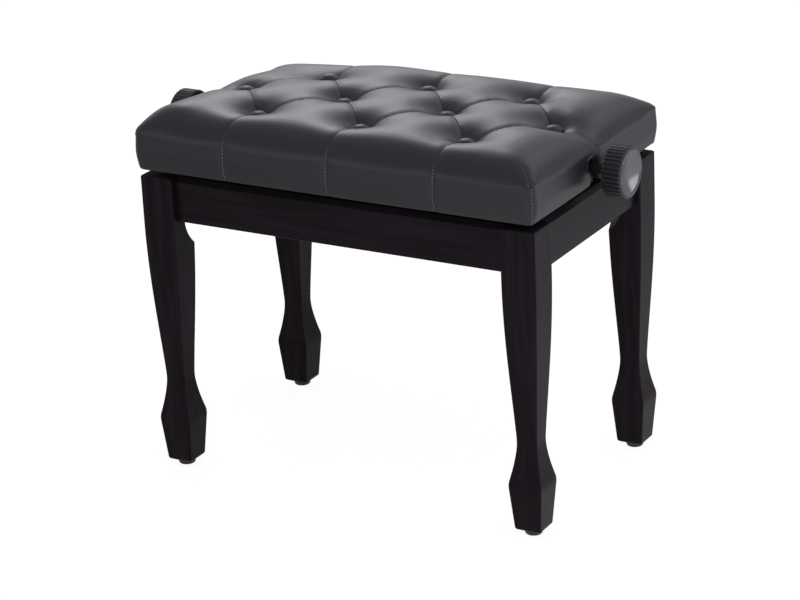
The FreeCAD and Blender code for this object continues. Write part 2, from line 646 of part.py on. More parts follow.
def stepped_bar(name, middle, step, ends):
    """A round bar across the bench with turned-down ends of the pivots' diameter."""
    return turned(name, [
        (0, f"-({ends})"),
        ("pivot_diameter / 2", f"-({ends})"),
        ("pivot_diameter / 2", f"-({step})"),
        (f"({middle}) / 2", f"-({step})"),
        (f"({middle}) / 2", step),
        ("pivot_diameter / 2", step),
        ("pivot_diameter / 2", ends),
        (0, ends),
    ])


def slide_sleeves(name, arm_face, back, height):
    """A pair of necked sleeves on a bar's ends, which run inside a pair of channels."""
    bore = "pivot_diameter / 2 + fit_gap"
    body = "rail_height / 2 - rail_wall - slide_gap"
    sleeves = []
    for side, sign in SIDES.items():
        sleeve = turned(f"{name}_{side}", [
            (bore, f"{arm_face} + face_gap"),
            ("shoulder_diameter / 2", f"{arm_face} + face_gap"),
            ("shoulder_diameter / 2", f"{RAIL_EDGE} + end_gap"),
            (body, f"{RAIL_EDGE} + end_gap"),
            (body, f"{back} - rail_wall - end_gap"),
            (bore, f"{back} - rail_wall - end_gap"),
        ])
        place(sleeve, HALF_SPAN, 0, height, towards(0, sign, 0))
        sleeves.append(sleeve)
    return sub_part(group(name, sleeves), name)


shaft = stepped_bar("lower_cross_shaft", "shaft_diameter", f"{INNER_ARM_BACK} - face_gap",
                    f"{INNER_FRONT} - rail_wall - end_gap")
place(shaft, HALF_SPAN, 0, LOWER_PIVOT, towards(0, 1, 0))
sub_part(shaft, "lower_cross_shaft")
slide_sleeves("lower_slide_sleeves", INNER_ARM_FACE, INNER_FRONT, LOWER_PIVOT)

bar = stepped_bar("crossbar", "crossbar_diameter", f"{OUTER_ARM_BACK} - end_gap",
                  f"{FRAME_FRONT} - rail_wall - end_gap")
place(bar, HALF_SPAN, 0, ROD, towards(0, 1, 0))
boss = drill("crossbar_boss", "crossbar_diameter", "boss_length", f"{HALF_SPAN} - boss_length / 2", 0,
             ROD, towards(1, 0, 0))
crossbar = doc.addObject("Part::MultiFuse", "crossbar_with_boss")
crossbar.Shapes = [bar, boss]
crossbar.Refine = True
thread = drill("crossbar_thread", "rod_diameter + 2 * running_gap", "2 * boss_length",
               f"{HALF_SPAN} - boss_length", 0, ROD, towards(1, 0, 0))
sub_part(bored("crossbar_nut", crossbar, [thread]), "crossbar_nut")
slide_sleeves("upper_slide_sleeves", OUTER_ARM_FACE, FRAME_FRONT, ROD)


# Seat board and frame, and the plates and bushes that carry the screw rod.

board_blank = box("seat_board_blank", f"2 * {BOX_END}", f"2 * {BOX_FRONT}", "board_thick", 0, 0, BOARD_UNDER)
board_holes = []
for side, sign in SIDES.items():
    for number, x in enumerate(SCREW_PLACES):
        board_holes.append(drill(f"seat_board_hole_{side}_{number}", SCREW_HOLE, "screw_depth + fit_gap", x,
                                 f"{sign} * ({RAIL_EDGE} + (upper_rail_depth - rail_wall) / 2)", BOARD_UNDER,
                                 Rotation()))
sub_part(bored("seat_board", board_blank, board_holes), "seat_board")

FRAME_HEIGHT = f"{BOARD_UNDER} - {FRAME_BOTTOM}"
for side, sign in SIDES.items():
    sub_part(box(f"seat_rail_{side}", f"2 * {BOX_END}", "frame_thick", FRAME_HEIGHT,
                 0, f"{sign} * ({BOX_FRONT} - frame_thick / 2)", FRAME_BOTTOM), f"seat_rail_{side}")

plate_screws, bushes = [], []
for end, sign in ENDS.items():
    outward = towards(sign, 0, 0)
    rail = box(f"seat_rail_{end}_blank", "frame_thick", f"2 * {FRAME_FRONT}", FRAME_HEIGHT,
               f"{sign} * ({BOX_END} - frame_thick / 2)", 0, FRAME_BOTTOM)
    plate = box(f"rod_bearing_{end}_blank", "plate_thick", "plate_width", "rail_height",
                f"{sign} * ({FRAME_END} - plate_thick / 2)", 0, f"{ROD} - rail_height / 2")
    rail_holes = [drill(f"seat_rail_{end}_bush", "bush_diameter + 4 * fit_gap", "frame_thick",
                        f"{sign} * {FRAME_END}", 0, ROD, outward)]
    plate_holes = [drill(f"rod_bearing_{end}_bush", "bush_diameter + 2 * fit_gap", "plate_thick",
                         f"{sign} * {PLATE_FACE}", 0, ROD, outward)]
    for side, across in SIDES.items():
        y = f"{across} * plate_screw_spacing / 2"
        plate_holes.append(drill(f"rod_bearing_{end}_hole_{side}", SCREW_HOLE, "plate_thick",
                                 f"{sign} * {PLATE_FACE}", y, ROD, outward))
        rail_holes.append(drill(f"seat_rail_{end}_hole_{side}", SCREW_HOLE, "screw_depth + fit_gap",
                                f"{sign} * {FRAME_END}", y, ROD, outward))
        plate_screws.append(wood_screw(f"bearing_screw_{end}_{side}", f"{sign} * {PLATE_FACE}", y,
                                       ROD, (sign, 0, 0)))
    sub_part(bored(f"seat_rail_{end}", rail, rail_holes), f"seat_rail_{end}")
    sub_part(bored(f"rod_bearing_{end}", plate, plate_holes), f"rod_bearing_{end}")
    bore = "journal_diameter / 2 + running_gap"
    bush = turned(f"rod_bush_{end}", [
        (bore, "-flange_thick"),
        ("flange_diameter / 2", "-flange_thick"),
        ("flange_diameter / 2", 0),
        ("bush_diameter / 2", 0),
        ("bush_diameter / 2", "bush_length"),
        (bore, "bush_length"),
    ])
    place(bush, f"{sign} * {PLATE_FACE}", 0, ROD, outward)
    bushes.append(bush)
sub_part(group("bearing_screws", plate_screws), "bearing_screws")
sub_part(group("rod_bushes", bushes), "rod_bushes")


# Screw rod with its collars, ribbed knobs, caps and cross pins.

rod = turned("screw_rod", [
    (0, f"-{ROD_END}"),
    ("journal_diameter / 2", f"-{ROD_END}"),
    ("journal_diameter / 2", f"-{ROD_SHOULDER}"),
    ("rod_diameter / 2", f"-{ROD_SHOULDER}"),
    ("rod_diameter / 2", ROD_SHOULDER),
    ("journal_diameter / 2", ROD_SHOULDER),
    ("journal_diameter / 2", ROD_END),
    (0, ROD_END),
])
place(rod, 0, 0, ROD, towards(1, 0, 0))


def knob_body(name):
    """A turned knob, hub first, with a cap recess in its face and grooves round its rim."""
    rim = "knob_diameter / 2"
    bore = "journal_diameter / 2 + fit_gap"
    body = turned(name, [
        (bore, "-hub_length"),
        ("hub_diameter / 2", "-hub_length"),
        ("hub_diameter / 2", 0),
        (f"{rim} - knob_back_bevel", 0),
        (rim, "knob_back_bevel"),
        (rim, "knob_thick - knob_bevel"),
        (f"{rim} - knob_bevel", "knob_thick"),
        ("cap_diameter / 2", "knob_thick"),
        ("cap_diameter / 2", "knob_thick - cap_depth"),
        (0, "knob_thick - cap_depth"),
        (0, "knob_thick - knob_face_wall + fit_gap"),
        (bore, "knob_thick - knob_face_wall + fit_gap"),
    ])
    groove = body.newObject("PartDesign::Pocket", name + "_groove")
    groove.Profile = outline(body, "XY_Plane", [
        (f"{rim} - groove_depth", 0),
        (f"{rim} + groove_depth", "-groove_width"),
        (f"{rim} + groove_depth", "groove_width"),
    ])
    groove.Type = "ThroughAll"
    groove.Midplane = True
    doc.recompute()
    pattern = body.newObject("PartDesign::PolarPattern", name + "_grooves")
    pattern.Originals = [groove]
    pattern.Axis = (own_plane(body, "Z_Axis"), [""])
    pattern.Angle = 360
    pattern.Occurrences = int(mm("knob_grooves"))
    body.Tip = pattern
    return body


rod_holes, knob_pins, collars = [], [], []
PIN_HOLE = "knob_pin_diameter + 2 * fit_gap"
for end, sign in ENDS.items():
    outward = towards(sign, 0, 0)
    knob = knob_body(f"knob_{end}_blank")
    place(knob, f"{sign} * {KNOB_BACK}", 0, ROD, outward)
    pin_hole = drill(f"knob_{end}_pin_hole", PIN_HOLE, "2 * hub_diameter", f"{sign} * {KNOB_PIN_X}", 0,
                     f"{ROD} - hub_diameter", Rotation())
    sub_part(bored(f"knob_{end}", knob, [pin_hole]), f"knob_{end}")
    rod_holes.append(drill(f"screw_rod_{end}_pin_hole", PIN_HOLE, "2 * hub_diameter",
                           f"{sign} * {KNOB_PIN_X}", 0, f"{ROD} - hub_diameter", Rotation()))
    knob_pins.append(drill(f"knob_pin_{end}", "knob_pin_diameter", "hub_diameter",
                           f"{sign} * {KNOB_PIN_X}", 0, f"{ROD} - hub_diameter / 2", Rotation()))
    edge = "cap_diameter / 2 - fit_gap"
    cap = turned(f"knob_cap_{end}", [
        (0, 0),
        (edge, 0),
        (edge, "cap_depth"),
        (f"{edge} - cap_rim", "cap_depth"),
        (f"{edge} - cap_rim - dish_depth", "cap_depth - dish_depth / 2"),
        (0, "cap_depth - dish_depth"),
    ])
    place(cap, f"{sign} * ({KNOB_FACE} - cap_depth)", 0, ROD, outward)
    sub_part(cap, f"knob_cap_{end}")
    collar = ring(f"thrust_collar_{end}", "rod_diameter + 2 * fit_gap", "collar_diameter",
                  "-collar_length", 0)
    place(collar, f"{sign} * {ROD_SHOULDER}", 0, ROD, outward)
    collars.append(collar)
sub_part(bored("lift_screw", rod, rod_holes), "lift_screw")
sub_part(group("knob_pins", knob_pins), "knob_pins")
sub_part(group("thrust_collars", collars), "thrust_collars")


# Padded seat: a tufted top pad, four padded sides and the covered buttons.

def arc_between(start, end, sag, outward):
    """An arc from start to end that swells by sag towards a direction."""
    middle = (start + end) * 0.5
    chord = end - start
    swell = outward - chord * (outward.dot(chord) / chord.dot(chord))
    return Part.Arc(start, middle + swell.normalize() * sag, end).toShape()


def rounding(distance, radius):
    """Height share of a quarter round: 1 where the round starts, 0 at its end."""
    return math.sqrt(max(0.0, 1 - min(1.0, max(0.0, distance / radius)) ** 2))


def seam_offset(x):
    """Half the width of the middle row of pillows: the two seams zigzag from button to button."""
    pitch, half = mm("button_pitch"), mm("seam_width / 2")
    if abs(x) > 1.5 * pitch:
        return half
    share = abs(1 - 2 * (abs(x) / pitch % 1))
    return max(half, mm("button_row") * share)


def panel_swell(x):
    """Swell of the front and back pillows: 0 at a seam over the edge, 1 in the middle of a panel."""
    pitch = mm("button_pitch")
    swell_power = 0.7
    share = abs(x) / pitch % 1 if abs(x) < pitch else min(0.5, abs(x) / pitch - 1)
    return math.sin(math.pi * share) ** swell_power


def seam_bottom(x):
    """Height of the zigzag seams, drawn down at each button."""
    half_pitch = mm("button_pitch / 2")
    column = min(3, round(abs(x) / half_pitch)) * half_pitch
    slope = math.hypot(half_pitch, mm("button_row")) / half_pitch
    away = abs(abs(x) - column) * slope
    return mm(SEAM) - mm("dimple_depth") * math.exp(-(away / mm("dimple_reach")) ** 2)


def pad_section(x):
    """Outline of the pad across the bench at one place along it."""
    least_sag = 0.4
    drawn_edge = 0.75
    half_length, corner = mm(SEAT_END), mm("corner_round")
    base, shoulder = mm(BOARD_TOP), mm(SHOULDER)
    end = rounding(abs(x) - half_length + mm("end_round"), mm("end_round"))
    swell = panel_swell(x)
    side = mm(SEAT_FRONT) - mm("seam_draw") * (1 - swell)
    side -= corner * (1 - rounding(abs(x) - half_length + corner, corner))
    edge_height = shoulder + mm("edge_rise") * end * (drawn_edge + (1 - drawn_edge) * swell)
    valley_height = shoulder + (seam_bottom(x) - shoulder) * end
    offset = seam_offset(x)
    pillow = least_sag + mm("pillow_rise") * swell * end
    middle = least_sag + mm("pillow_rise") * end * offset / mm("button_row")
    up = Vector(0, 0, 1)
    edges = []
    rows = [(-1, Vector(0, -1, 0)), (1, Vector(0, 1, 0))]
    points = {}
    for sign, outward in rows:
        points[sign] = [Vector(x, sign * side, base), Vector(x, sign * side, shoulder),
                        Vector(x, sign * (side - mm("edge_width")), edge_height),
                        Vector(x, sign * offset, valley_height)]
    for sign, outward in rows:
        foot, shoulder_point, edge_point, valley = points[sign]
        edges.append(arc_between(foot, shoulder_point, least_sag, outward))
        edge_sag = least_sag + mm("edge_swell") * end
        edges.append(arc_between(shoulder_point, edge_point, edge_sag, outward + up))
        edges.append(arc_between(edge_point, valley, pillow, up))
    edges.append(arc_between(points[-1][3], points[1][3], middle, up))
    edges.append(Part.makeLine(points[1][0], points[-1][0]))
    return Part.Wire(Part.sortEdges(edges)[0])


def pad_stations():
    """Places along the bench for the pad's sections: even between the end buttons, closer at the ends."""
    steps_per_pitch = 8
    closing_shares = (0.3, 0.55, 0.75, 0.88, 0.96, 1)
    last = int(1.5 * steps_per_pitch)
    even = [step * mm("button_pitch") / steps_per_pitch for step in range(-last, last + 1)]
    rest = mm(SEAT_END) - even[-1]
    closing = [even[-1] + rest * share for share in closing_shares]
    return [-x for x in reversed(closing)] + even + closing


half_pitch_x = mm("button_pitch / 2")
BUTTON_PLACES = [(step * half_pitch_x, row * mm("button_row"))
                 for row in (-1, 0, 1) for step in range(-3, 4) if (step + row) % 2]
hollows = [Part.makeCylinder(mm("button_diameter / 2 + button_margin"),
                             mm("seam_height + pillow_rise - button_seat + cut_over"),
                             Vector(x, y, mm(BUTTON_SEAT))) for x, y in BUTTON_PLACES]
pad = Part.makeLoft([pad_section(x) for x in pad_stations()], True, True).cut(hollows)
sub_part(shape_feature("seat_cushion", pad), "seat_cushion")

buttons = []
for number, (x, y) in enumerate(BUTTON_PLACES):
    radius = "button_diameter / 2"
    button = turned(f"tuft_button_{number}", [
        (0, 0),
        (radius, 0),
        (radius, "button_rim"),
        (f"{radius} / 2", "button_height - button_rim / 4"),
        (0, "button_height"),
    ])
    button.Placement = Placement(Vector(x, y, mm(BUTTON_SEAT)), Rotation())
    buttons.append(button)
sub_part(group("tuft_buttons", buttons), "tuft_buttons")


def side_levels():
    """Heights of the padded sides, each with how far the side is drawn in there."""
    hem, top = mm(HEM), mm(BOARD_TOP)
    draw = mm("hem_draw")
    tuck_share = 0.2
    return [(hem, draw), (hem + draw, draw * tuck_share), ((hem + top) / 2, 0.0), (top, 0.0)]


def long_side_section(sign, height, inset):
    """A front or back side at one height: swelling between the seams, with rounded ends."""
    end = mm(SEAT_END) - inset
    face = mm(SEAT_FRONT) - inset
    corner = mm("corner_round") - inset
    drawn = face - mm("seam_draw")
    pitch = mm("button_pitch")
    back = mm(BOX_FRONT)
    outward = Vector(0, sign, 0)

    def point(x, y):
        return Vector(x, sign * y, height)

    seams = [point(-end + corner, face)] + [point(step * pitch, drawn) for step in (-1, 0, 1)]
    seams.append(point(end - corner, face))
    sags = [mm("seam_draw") * share for share in (0.5, 1, 1, 0.5)]
    edges = [arc_between(a, b, sag, outward) for a, b, sag in zip(seams, seams[1:], sags)]
    corner_sag = corner * (1 - math.sqrt(0.5))
    for way, seam in ((-1, seams[0]), (1, seams[-1])):
        heel = point(way * end, face - corner)
        edges.append(arc_between(heel, seam, corner_sag, Vector(way, sign, 0)))
        edges.append(Part.makeLine(heel, point(way * end, back)))
    edges.append(Part.makeLine(point(-end, back), point(end, back)))
    return Part.Wire(Part.sortEdges(edges)[0])


def short_side_section(sign, height, inset):
    """An end side at one height, drawn in at its middle seam."""
    face = mm(SEAT_END) - inset
    drawn = face - mm("seam_draw")
    half = mm(BOX_FRONT)
    back = mm(BOX_END)
    outward = Vector(sign, 0, 0)
    ends = [Vector(sign * face, -half, height), Vector(sign * face, half, height)]
    seam = Vector(sign * drawn, 0, height)
    heels = [Vector(sign * back, -half, height), Vector(sign * back, half, height)]
    edges = [arc_between(ends[0], seam, mm("seam_draw / 2"), outward),
             arc_between(seam, ends[1], mm("seam_draw / 2"), outward)]
    edges += [Part.makeLine(*pair) for pair in zip(ends, heels)]
    edges.append(Part.makeLine(*heels))
    return Part.Wire(Part.sortEdges(edges)[0])


def rod_notch(sign):
    """The opening in an end side for the rod: a round top over the rod, flaring out to the hem."""
    axis = mm(ROD)
    hem = mm(f"{HEM} - cut_over")
    half = mm("notch_width / 2")
    flare = mm("notch_flare")
    flare_sag = flare / 4
    start = sign * mm(f"{BOX_END} - cut_over")

    def point(y, z):
        return Vector(start, y, z)

    top = Part.Arc(point(-half, axis), point(0, axis + half), point(half, axis)).toShape()
    edges = [top]
    for way in (-1, 1):
        edges.append(arc_between(point(way * half, axis), point(way * (half + flare), hem), flare_sag,
                                 Vector(0, -way, -1)))
    edges.append(Part.makeLine(point(-half - flare, hem), point(half + flare, hem)))
    face = Part.Face(Part.Wire(Part.sortEdges(edges)[0]))
    return face.extrude(Vector(sign * mm("padding_thick + 2 * cut_over"), 0, 0))


for side, sign in SIDES.items():
    padding = Part.makeLoft([long_side_section(sign, *level) for level in side_levels()], True, True)
    sub_part(shape_feature(f"side_padding_{side}", padding), f"side_padding_{side}")
for end, sign in ENDS.items():
    padding = Part.makeLoft([short_side_section(sign, *level) for level in side_levels()], True, True)
    sub_part(shape_feature(f"side_padding_{end}", padding.cut(rod_notch(sign))), f"side_padding_{end}")


# Recompute, check every object and write one file for each sub-part.

doc.recompute()
failed = [item.Name for item in doc.Objects if "Invalid" in item.State or "Error" in item.State]
broken = [item.Label for item in SUB_PARTS if item.Shape.isNull() or not item.Shape.isValid()]
if failed or broken:
    raise RuntimeError(f"failed objects {failed}, bad shapes {broken}")
os.makedirs("parts", exist_ok=True)
for item in SUB_PARTS:
    item.Shape.exportStep(os.path.join("parts", f"{item.Label}.step"))
print(f"{len(SUB_PARTS)} sub-parts, rest angle {REST_ANGLE:.3f} degrees, half span {mm(HALF_SPAN):.3f}")
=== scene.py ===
# %% [markdown]
# An adjustable piano bench, dressed around its CAD frame.
# The CAD model gives every piece its place and size in metres, so the pieces need no fitting.
# We load it first, and read the boxes of single nodes from it below.
# The dressed bench has to stay as large as the CAD bench.

# %% Load the frame
import json
import math

import bmesh
import bpy
import numpy as np
from mathutils import Matrix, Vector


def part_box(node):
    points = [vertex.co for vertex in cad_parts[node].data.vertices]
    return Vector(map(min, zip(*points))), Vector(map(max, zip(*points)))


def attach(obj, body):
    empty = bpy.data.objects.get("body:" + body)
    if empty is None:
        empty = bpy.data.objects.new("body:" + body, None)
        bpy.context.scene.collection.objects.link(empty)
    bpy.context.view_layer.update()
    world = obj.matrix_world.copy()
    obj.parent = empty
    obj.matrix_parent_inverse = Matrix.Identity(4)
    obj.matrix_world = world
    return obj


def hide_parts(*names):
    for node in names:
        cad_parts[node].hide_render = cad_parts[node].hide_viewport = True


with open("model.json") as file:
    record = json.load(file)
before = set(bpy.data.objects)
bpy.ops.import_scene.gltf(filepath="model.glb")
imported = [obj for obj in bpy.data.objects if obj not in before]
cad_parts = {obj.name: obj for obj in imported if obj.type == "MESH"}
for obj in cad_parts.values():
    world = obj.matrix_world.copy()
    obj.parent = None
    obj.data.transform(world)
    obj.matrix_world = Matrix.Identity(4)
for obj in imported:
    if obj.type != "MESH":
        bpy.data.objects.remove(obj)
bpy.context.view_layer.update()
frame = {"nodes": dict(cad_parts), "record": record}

MM = 0.001
scene = bpy.context.scene


def node_box(name):
    """A CAD node's lowest and highest corners in millimetres, to a hundredth."""
    return np.round(np.array(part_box(name)) / MM, 2)


# %% [markdown]
# Every new piece is a grid of points worked out by a formula: rows one way, columns the other.
# The points could be joined by hand in edit mode, but a grid's faces follow from its size alone.
# Grids that share an edge are welded, so seams and poles close, and then all faces are turned outwards.

# %% From grids of points to a piece of the bench
WELD = 2e-6


def grid_faces(rows, cols, first, closed):
    """Corner numbers of a grid's faces: a point, the next one along its row, and the two in the row above."""
    number = first + np.arange(rows * cols).reshape(rows, cols)
    if closed:
        number = np.column_stack([number, number[:, 0]])
    low, high = number[:-1], number[1:]
    return np.stack([low[:, :-1], low[:, 1:], high[:, 1:], high[:, :-1]], -1).reshape(-1, 4)


def closed_shell(mesh, weld):
    """Weld the points that meet, and turn every face outwards."""
    shell = bmesh.new()
    shell.from_mesh(mesh)
    bmesh.ops.remove_doubles(shell, verts=shell.verts, dist=weld)
    bmesh.ops.recalc_face_normals(shell, faces=shell.faces)
    shell.to_mesh(mesh)
    shell.free()


def grid_mesh(name, patches, weld=WELD):
    """A mesh of grids in millimetres. A patch is rows by columns by x y z, and whether its rows close."""
    first, points, faces = 0, [], []
    for grid, closed in patches:
        rows, cols = grid.shape[:2]
        points.append(grid.reshape(-1, 3) * MM)
        faces.append(grid_faces(rows, cols, first, closed))
        first += rows * cols
    points, faces = np.concatenate(points), np.concatenate(faces)
    mesh = bpy.data.meshes.new(name)
    mesh.vertices.add(len(points))
    mesh.vertices.foreach_set("co", points.ravel())
    mesh.loops.add(faces.size)
    mesh.loops.foreach_set("vertex_index", faces.ravel().astype(np.int32))
    mesh.polygons.add(len(faces))
    mesh.polygons.foreach_set("loop_start", np.arange(0, faces.size, 4, dtype=np.int32))
    mesh.update(calc_edges=True)
    if weld:
        closed_shell(mesh, weld)
    return mesh


def in_scene(name, data):
    """A new object that shows a mesh, a camera or a lamp."""
    thing = bpy.data.objects.new(name, data)
    scene.collection.objects.link(thing)
    return thing


def add_piece(name, patches, body, finish, stands_for=(), sharp=38):
    """Put a shaded piece in the scene, let it ride on its body, and hide the CAD nodes that it stands for."""
    mesh = grid_mesh(name, patches)
    mesh.shade_smooth()
    mesh.set_sharp_from_angle(angle=math.radians(sharp))
    mesh.materials.append(finish)
    thing = in_scene(name, mesh)
    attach(thing, body)
    if stands_for:
        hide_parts(*stands_for)
    print(name, "has", len(mesh.polygons), "faces")
    return thing


# %% [markdown]
# Finishes are written as sums. A small class wraps a socket, so that wire * 2 + 1 adds two Math nodes.
# Every other node comes from one method: it sets the node's settings first, then its sockets.

# %% Wires between shader nodes
class Wire:
    """A value in a node tree. Sums and products of wires add Math nodes; node() adds any other node."""

    def __init__(self, tree, socket=None):
        self.tree = tree
        self.socket = socket

    def node(self, kind, settings=None, sockets=None, output=0):
        """Add a node, set its settings, then its sockets' values or links; gives one output as a wire."""
        made = self.tree.nodes.new("ShaderNode" + kind)
        for name, value in (settings or {}).items():
            setattr(made, name, value)
        for key, value in (sockets or {}).items():
            if isinstance(value, Wire):
                self.tree.links.new(value.socket, made.inputs[key])
            else:
                made.inputs[key].default_value = value
        return Wire(self.tree, made.outputs[output] if len(made.outputs) else None)

    def math(self, operation, *values):
        """A Math node on wires and numbers."""
        return self.node("Math", {"operation": operation}, dict(enumerate(values)))

    def parts(self):
        """The x, y and z of a vector."""
        split = self.node("SeparateXYZ", None, {0: self}).socket.node
        return [Wire(self.tree, socket) for socket in split.outputs]

    def __add__(self, other):
        return self.math("ADD", self, other)

    def __sub__(self, other):
        return self.math("SUBTRACT", self, other)

    def __rsub__(self, other):
        return self.math("SUBTRACT", other, self)

    def __mul__(self, other):
        return self.math("MULTIPLY", self, other)

    def __truediv__(self, other):
        return self.math("DIVIDE", self, other)

    def __lt__(self, other):
        return self.math("LESS_THAN", self, other)

    def __abs__(self):
        return self.math("ABSOLUTE", self)

    __radd__ = __add__
    __rmul__ = __mul__


print("wires are ready: + - * / < and abs() add Math nodes")


# %% [markdown]
# A few nodes turn up in every finish: a smooth step, a blend of two colours, cloudy noise and small relief.
# Each gets a short function, so that a finish below reads as a recipe.

# %% Nodes that the finishes share
MIX_FIRST, MIX_SECOND, MIX_RESULT = 6, 7, 2


def grey(value):
    """A neutral colour."""
    return (value, value, value, 1)


def fade(value, start, end, low=0.0, high=1.0):
    """Goes smoothly from low to high as a wire goes from start to end."""
    return value.node("MapRange", {"interpolation_type": "SMOOTHSTEP"},
                      {0: value, 1: start, 2: end, 3: low, 4: high})


def blend_colour(share, first, second):
    """The first colour where share is 0 and the second where it is 1."""
    ends = {0: share, MIX_FIRST: first, MIX_SECOND: second}
    return share.node("Mix", {"data_type": "RGBA"}, ends, MIX_RESULT)


def stretched(place, *scale):
    """Coordinates scaled along x, y and z, so that a noise on them is drawn out."""
    return place.node("Mapping", None, {"Vector": place, "Scale": scale})


def noise(place, scale, detail):
    """Cloudy noise between 0 and 1."""
    return place.node("TexNoise", None, {"Vector": place, "Scale": scale, "Detail": detail}, "Fac")


def bump(height, strength, distance):
    """Normals of small relief: a height between 0 and 1 over a distance in metres."""
    return height.node("Bump", None, {"Height": height, "Strength": strength, "Distance": distance})


def emptied(owner):
    """The node tree of a material or a world with nothing in it, as a wire to start from."""
    owner.use_nodes = True
    owner.node_tree.nodes.clear()
    return Wire(owner.node_tree)


def make_finish(name, paint):
    """A material whose Principled sockets are what paint works out from the object's own coordinates."""
    material = bpy.data.materials.new(name)
    start = emptied(material)
    place = start.node("TexCoord", output="Object")
    shader = start.node("BsdfPrincipled", None, paint(place))
    start.node("OutputMaterial", None, {"Surface": shader})
    print("finish", name, "has", len(material.node_tree.nodes), "nodes")
    return material


# %% [markdown]
# The camera stands where the photographer stood. Its angle and lens were fitted to the corners of the
# legs, aprons and seat in the photograph, whose frame is 800 by 600, so the render lies over it.

# %% Camera
AZIMUTH, ELEVATION, ROLL = (math.radians(a) for a in (30.654, 21.094, -2.670))
TARGET = np.array([0.01672, -0.03770, 0.22853])
DISTANCE = 3.526
SENSOR_WIDTH, FOCAL_LENGTH = 36.0, 126.73


def direction(azimuth, elevation):
    """From the bench to a place at these angles: azimuth 0 is the front, and elevation 0 is level."""
    flat = math.cos(elevation)
    return np.array([math.sin(azimuth) * flat, -math.cos(azimuth) * flat, math.sin(elevation)])


back = direction(AZIMUTH, ELEVATION)
level = np.cross(-back, [0, 0, 1])
level /= np.linalg.norm(level)
above = np.cross(level, -back)
right = math.cos(ROLL) * level + math.sin(ROLL) * above
upward = math.cos(ROLL) * above - math.sin(ROLL) * level
lens = bpy.data.cameras.new("camera")
lens.sensor_fit = "HORIZONTAL"
lens.sensor_width = SENSOR_WIDTH
lens.lens = FOCAL_LENGTH
camera = in_scene("camera", lens)
pose = np.eye(4)
pose[:3] = np.column_stack([right, upward, back, TARGET + back * DISTANCE])
camera.matrix_world = Matrix(pose)
bpy.context.scene.camera = camera
print("camera at", np.round(pose[:3, 3], 3))


# %% [markdown]
# The photograph is a studio shot on a white sweep. The floor is a wide pale disc. The camera sees it white
# with a faint shadow. What is mirrored in the wood and leather sees a painted pool of light on it, a glow
# that goes from light grey on the left to nearly white on the right, as in a studio that is brighter on one
# side.

# %% Floor
FLOOR_REACH, FLOOR_DROP = 15.0, 0.2
PALE, THIN, SEEN_WHITE = grey(0.82), grey(0.14), grey(0.93)
MIRROR_LEFT, MIRROR_RIGHT = (0.38, 0.375, 0.40, 1), (0.97, 0.95, 1.0, 1)
MIRROR_SLANT, MIRROR_FROM, MIRROR_TO = 0.6, -0.4, 1.0


def floor_shader(start):
    """Pale paint for light that bounces; for camera, gloss and glass, a glow and a thin coat for shadows; the
    glow that gloss sees is a painted pool of light, brighter to the right back.
    """
    path = start.node("LightPath").socket.node.outputs
    by_camera, by_gloss, by_glass = (Wire(start.tree, path[f"Is {kind} Ray"])
                                     for kind in ("Camera", "Glossy", "Transmission"))
    x, y = start.node("TexCoord", output="Object").parts()[:2]
    # painted light: the glow that gloss sees is brighter towards the right back, a painted pool of light
    painted_light_share = fade(x - y * MIRROR_SLANT, MIRROR_FROM, MIRROR_TO)
    mirrored = blend_colour(painted_light_share, MIRROR_LEFT, MIRROR_RIGHT)
    glow = start.node("Emission", None, {"Color": blend_colour(by_camera, mirrored, SEEN_WHITE)})
    thin = start.node("BsdfDiffuse", None, {"Color": THIN})
    sweep = start.node("AddShader", None, {0: glow, 1: thin})
    paint = start.node("BsdfDiffuse", None, {"Color": PALE})
    return start.node("MixShader", None, {0: by_camera + by_gloss + by_glass, 1: paint, 2: sweep})


angle = np.linspace(0, 2 * math.pi, 64, endpoint=False)
radius = np.array([0.0, 0.5, 1.0, 3.0, FLOOR_REACH]) / MM
disc = np.stack([np.outer(radius, np.cos(angle)), np.outer(radius, np.sin(angle)),
                 np.full((len(radius), len(angle)), -FLOOR_DROP)], -1)
floor = in_scene("studio_floor", grid_mesh("studio_floor", [(disc, True)]))
floor_paint = bpy.data.materials.new("studio_floor")
start = emptied(floor_paint)
start.node("OutputMaterial", None, {"Surface": floor_shader(start)})
floor.data.materials.append(floor_paint)
print("floor", 2 * FLOOR_REACH, "m across")


# %% [markdown]
# The room is the world's background. It lights the bench softly, a little more from near the horizon than
# from above. Seen straight by the camera it is plain white.

# %% Room
HORIZON, OVERHEAD = 0.72, 0.5
world = bpy.data.worlds.new("studio")
scene.world = world
start = emptied(world)
ray_height = start.node("TexCoord", output="Generated").parts()[2]
room = fade(ray_height, 0.05, 0.45, HORIZON, OVERHEAD)
sky = start.node("Background", None, {"Color": (0.97, 0.96, 1.03, 1), "Strength": room})
plain = start.node("Background", None, {"Color": grey(1.0), "Strength": 1.0})
camera_ray = start.node("LightPath", output="Is Camera Ray")
backdrop = start.node("MixShader", None, {0: camera_ray, 1: sky, 2: plain})
start.node("OutputWorld", None, {"Surface": backdrop})
print("room brightness from", HORIZON, "at the horizon to", OVERHEAD, "overhead")


# %% [markdown]
# Six large soft lights do what softboxes do in a studio. Two behind the bench, a narrow and a wide one, give
# the leather its sheen, because a low view over the seat mirrors what is behind it. One above and one at the
# back right model the pillows. A low one on the right lifts the end of the seat and the sides of the legs,
# and a low cool one at the front left draws the line on the shoulders of the feet.

# %% Soft lights
LIGHT_AIM = np.array([0, 0, 0.3])


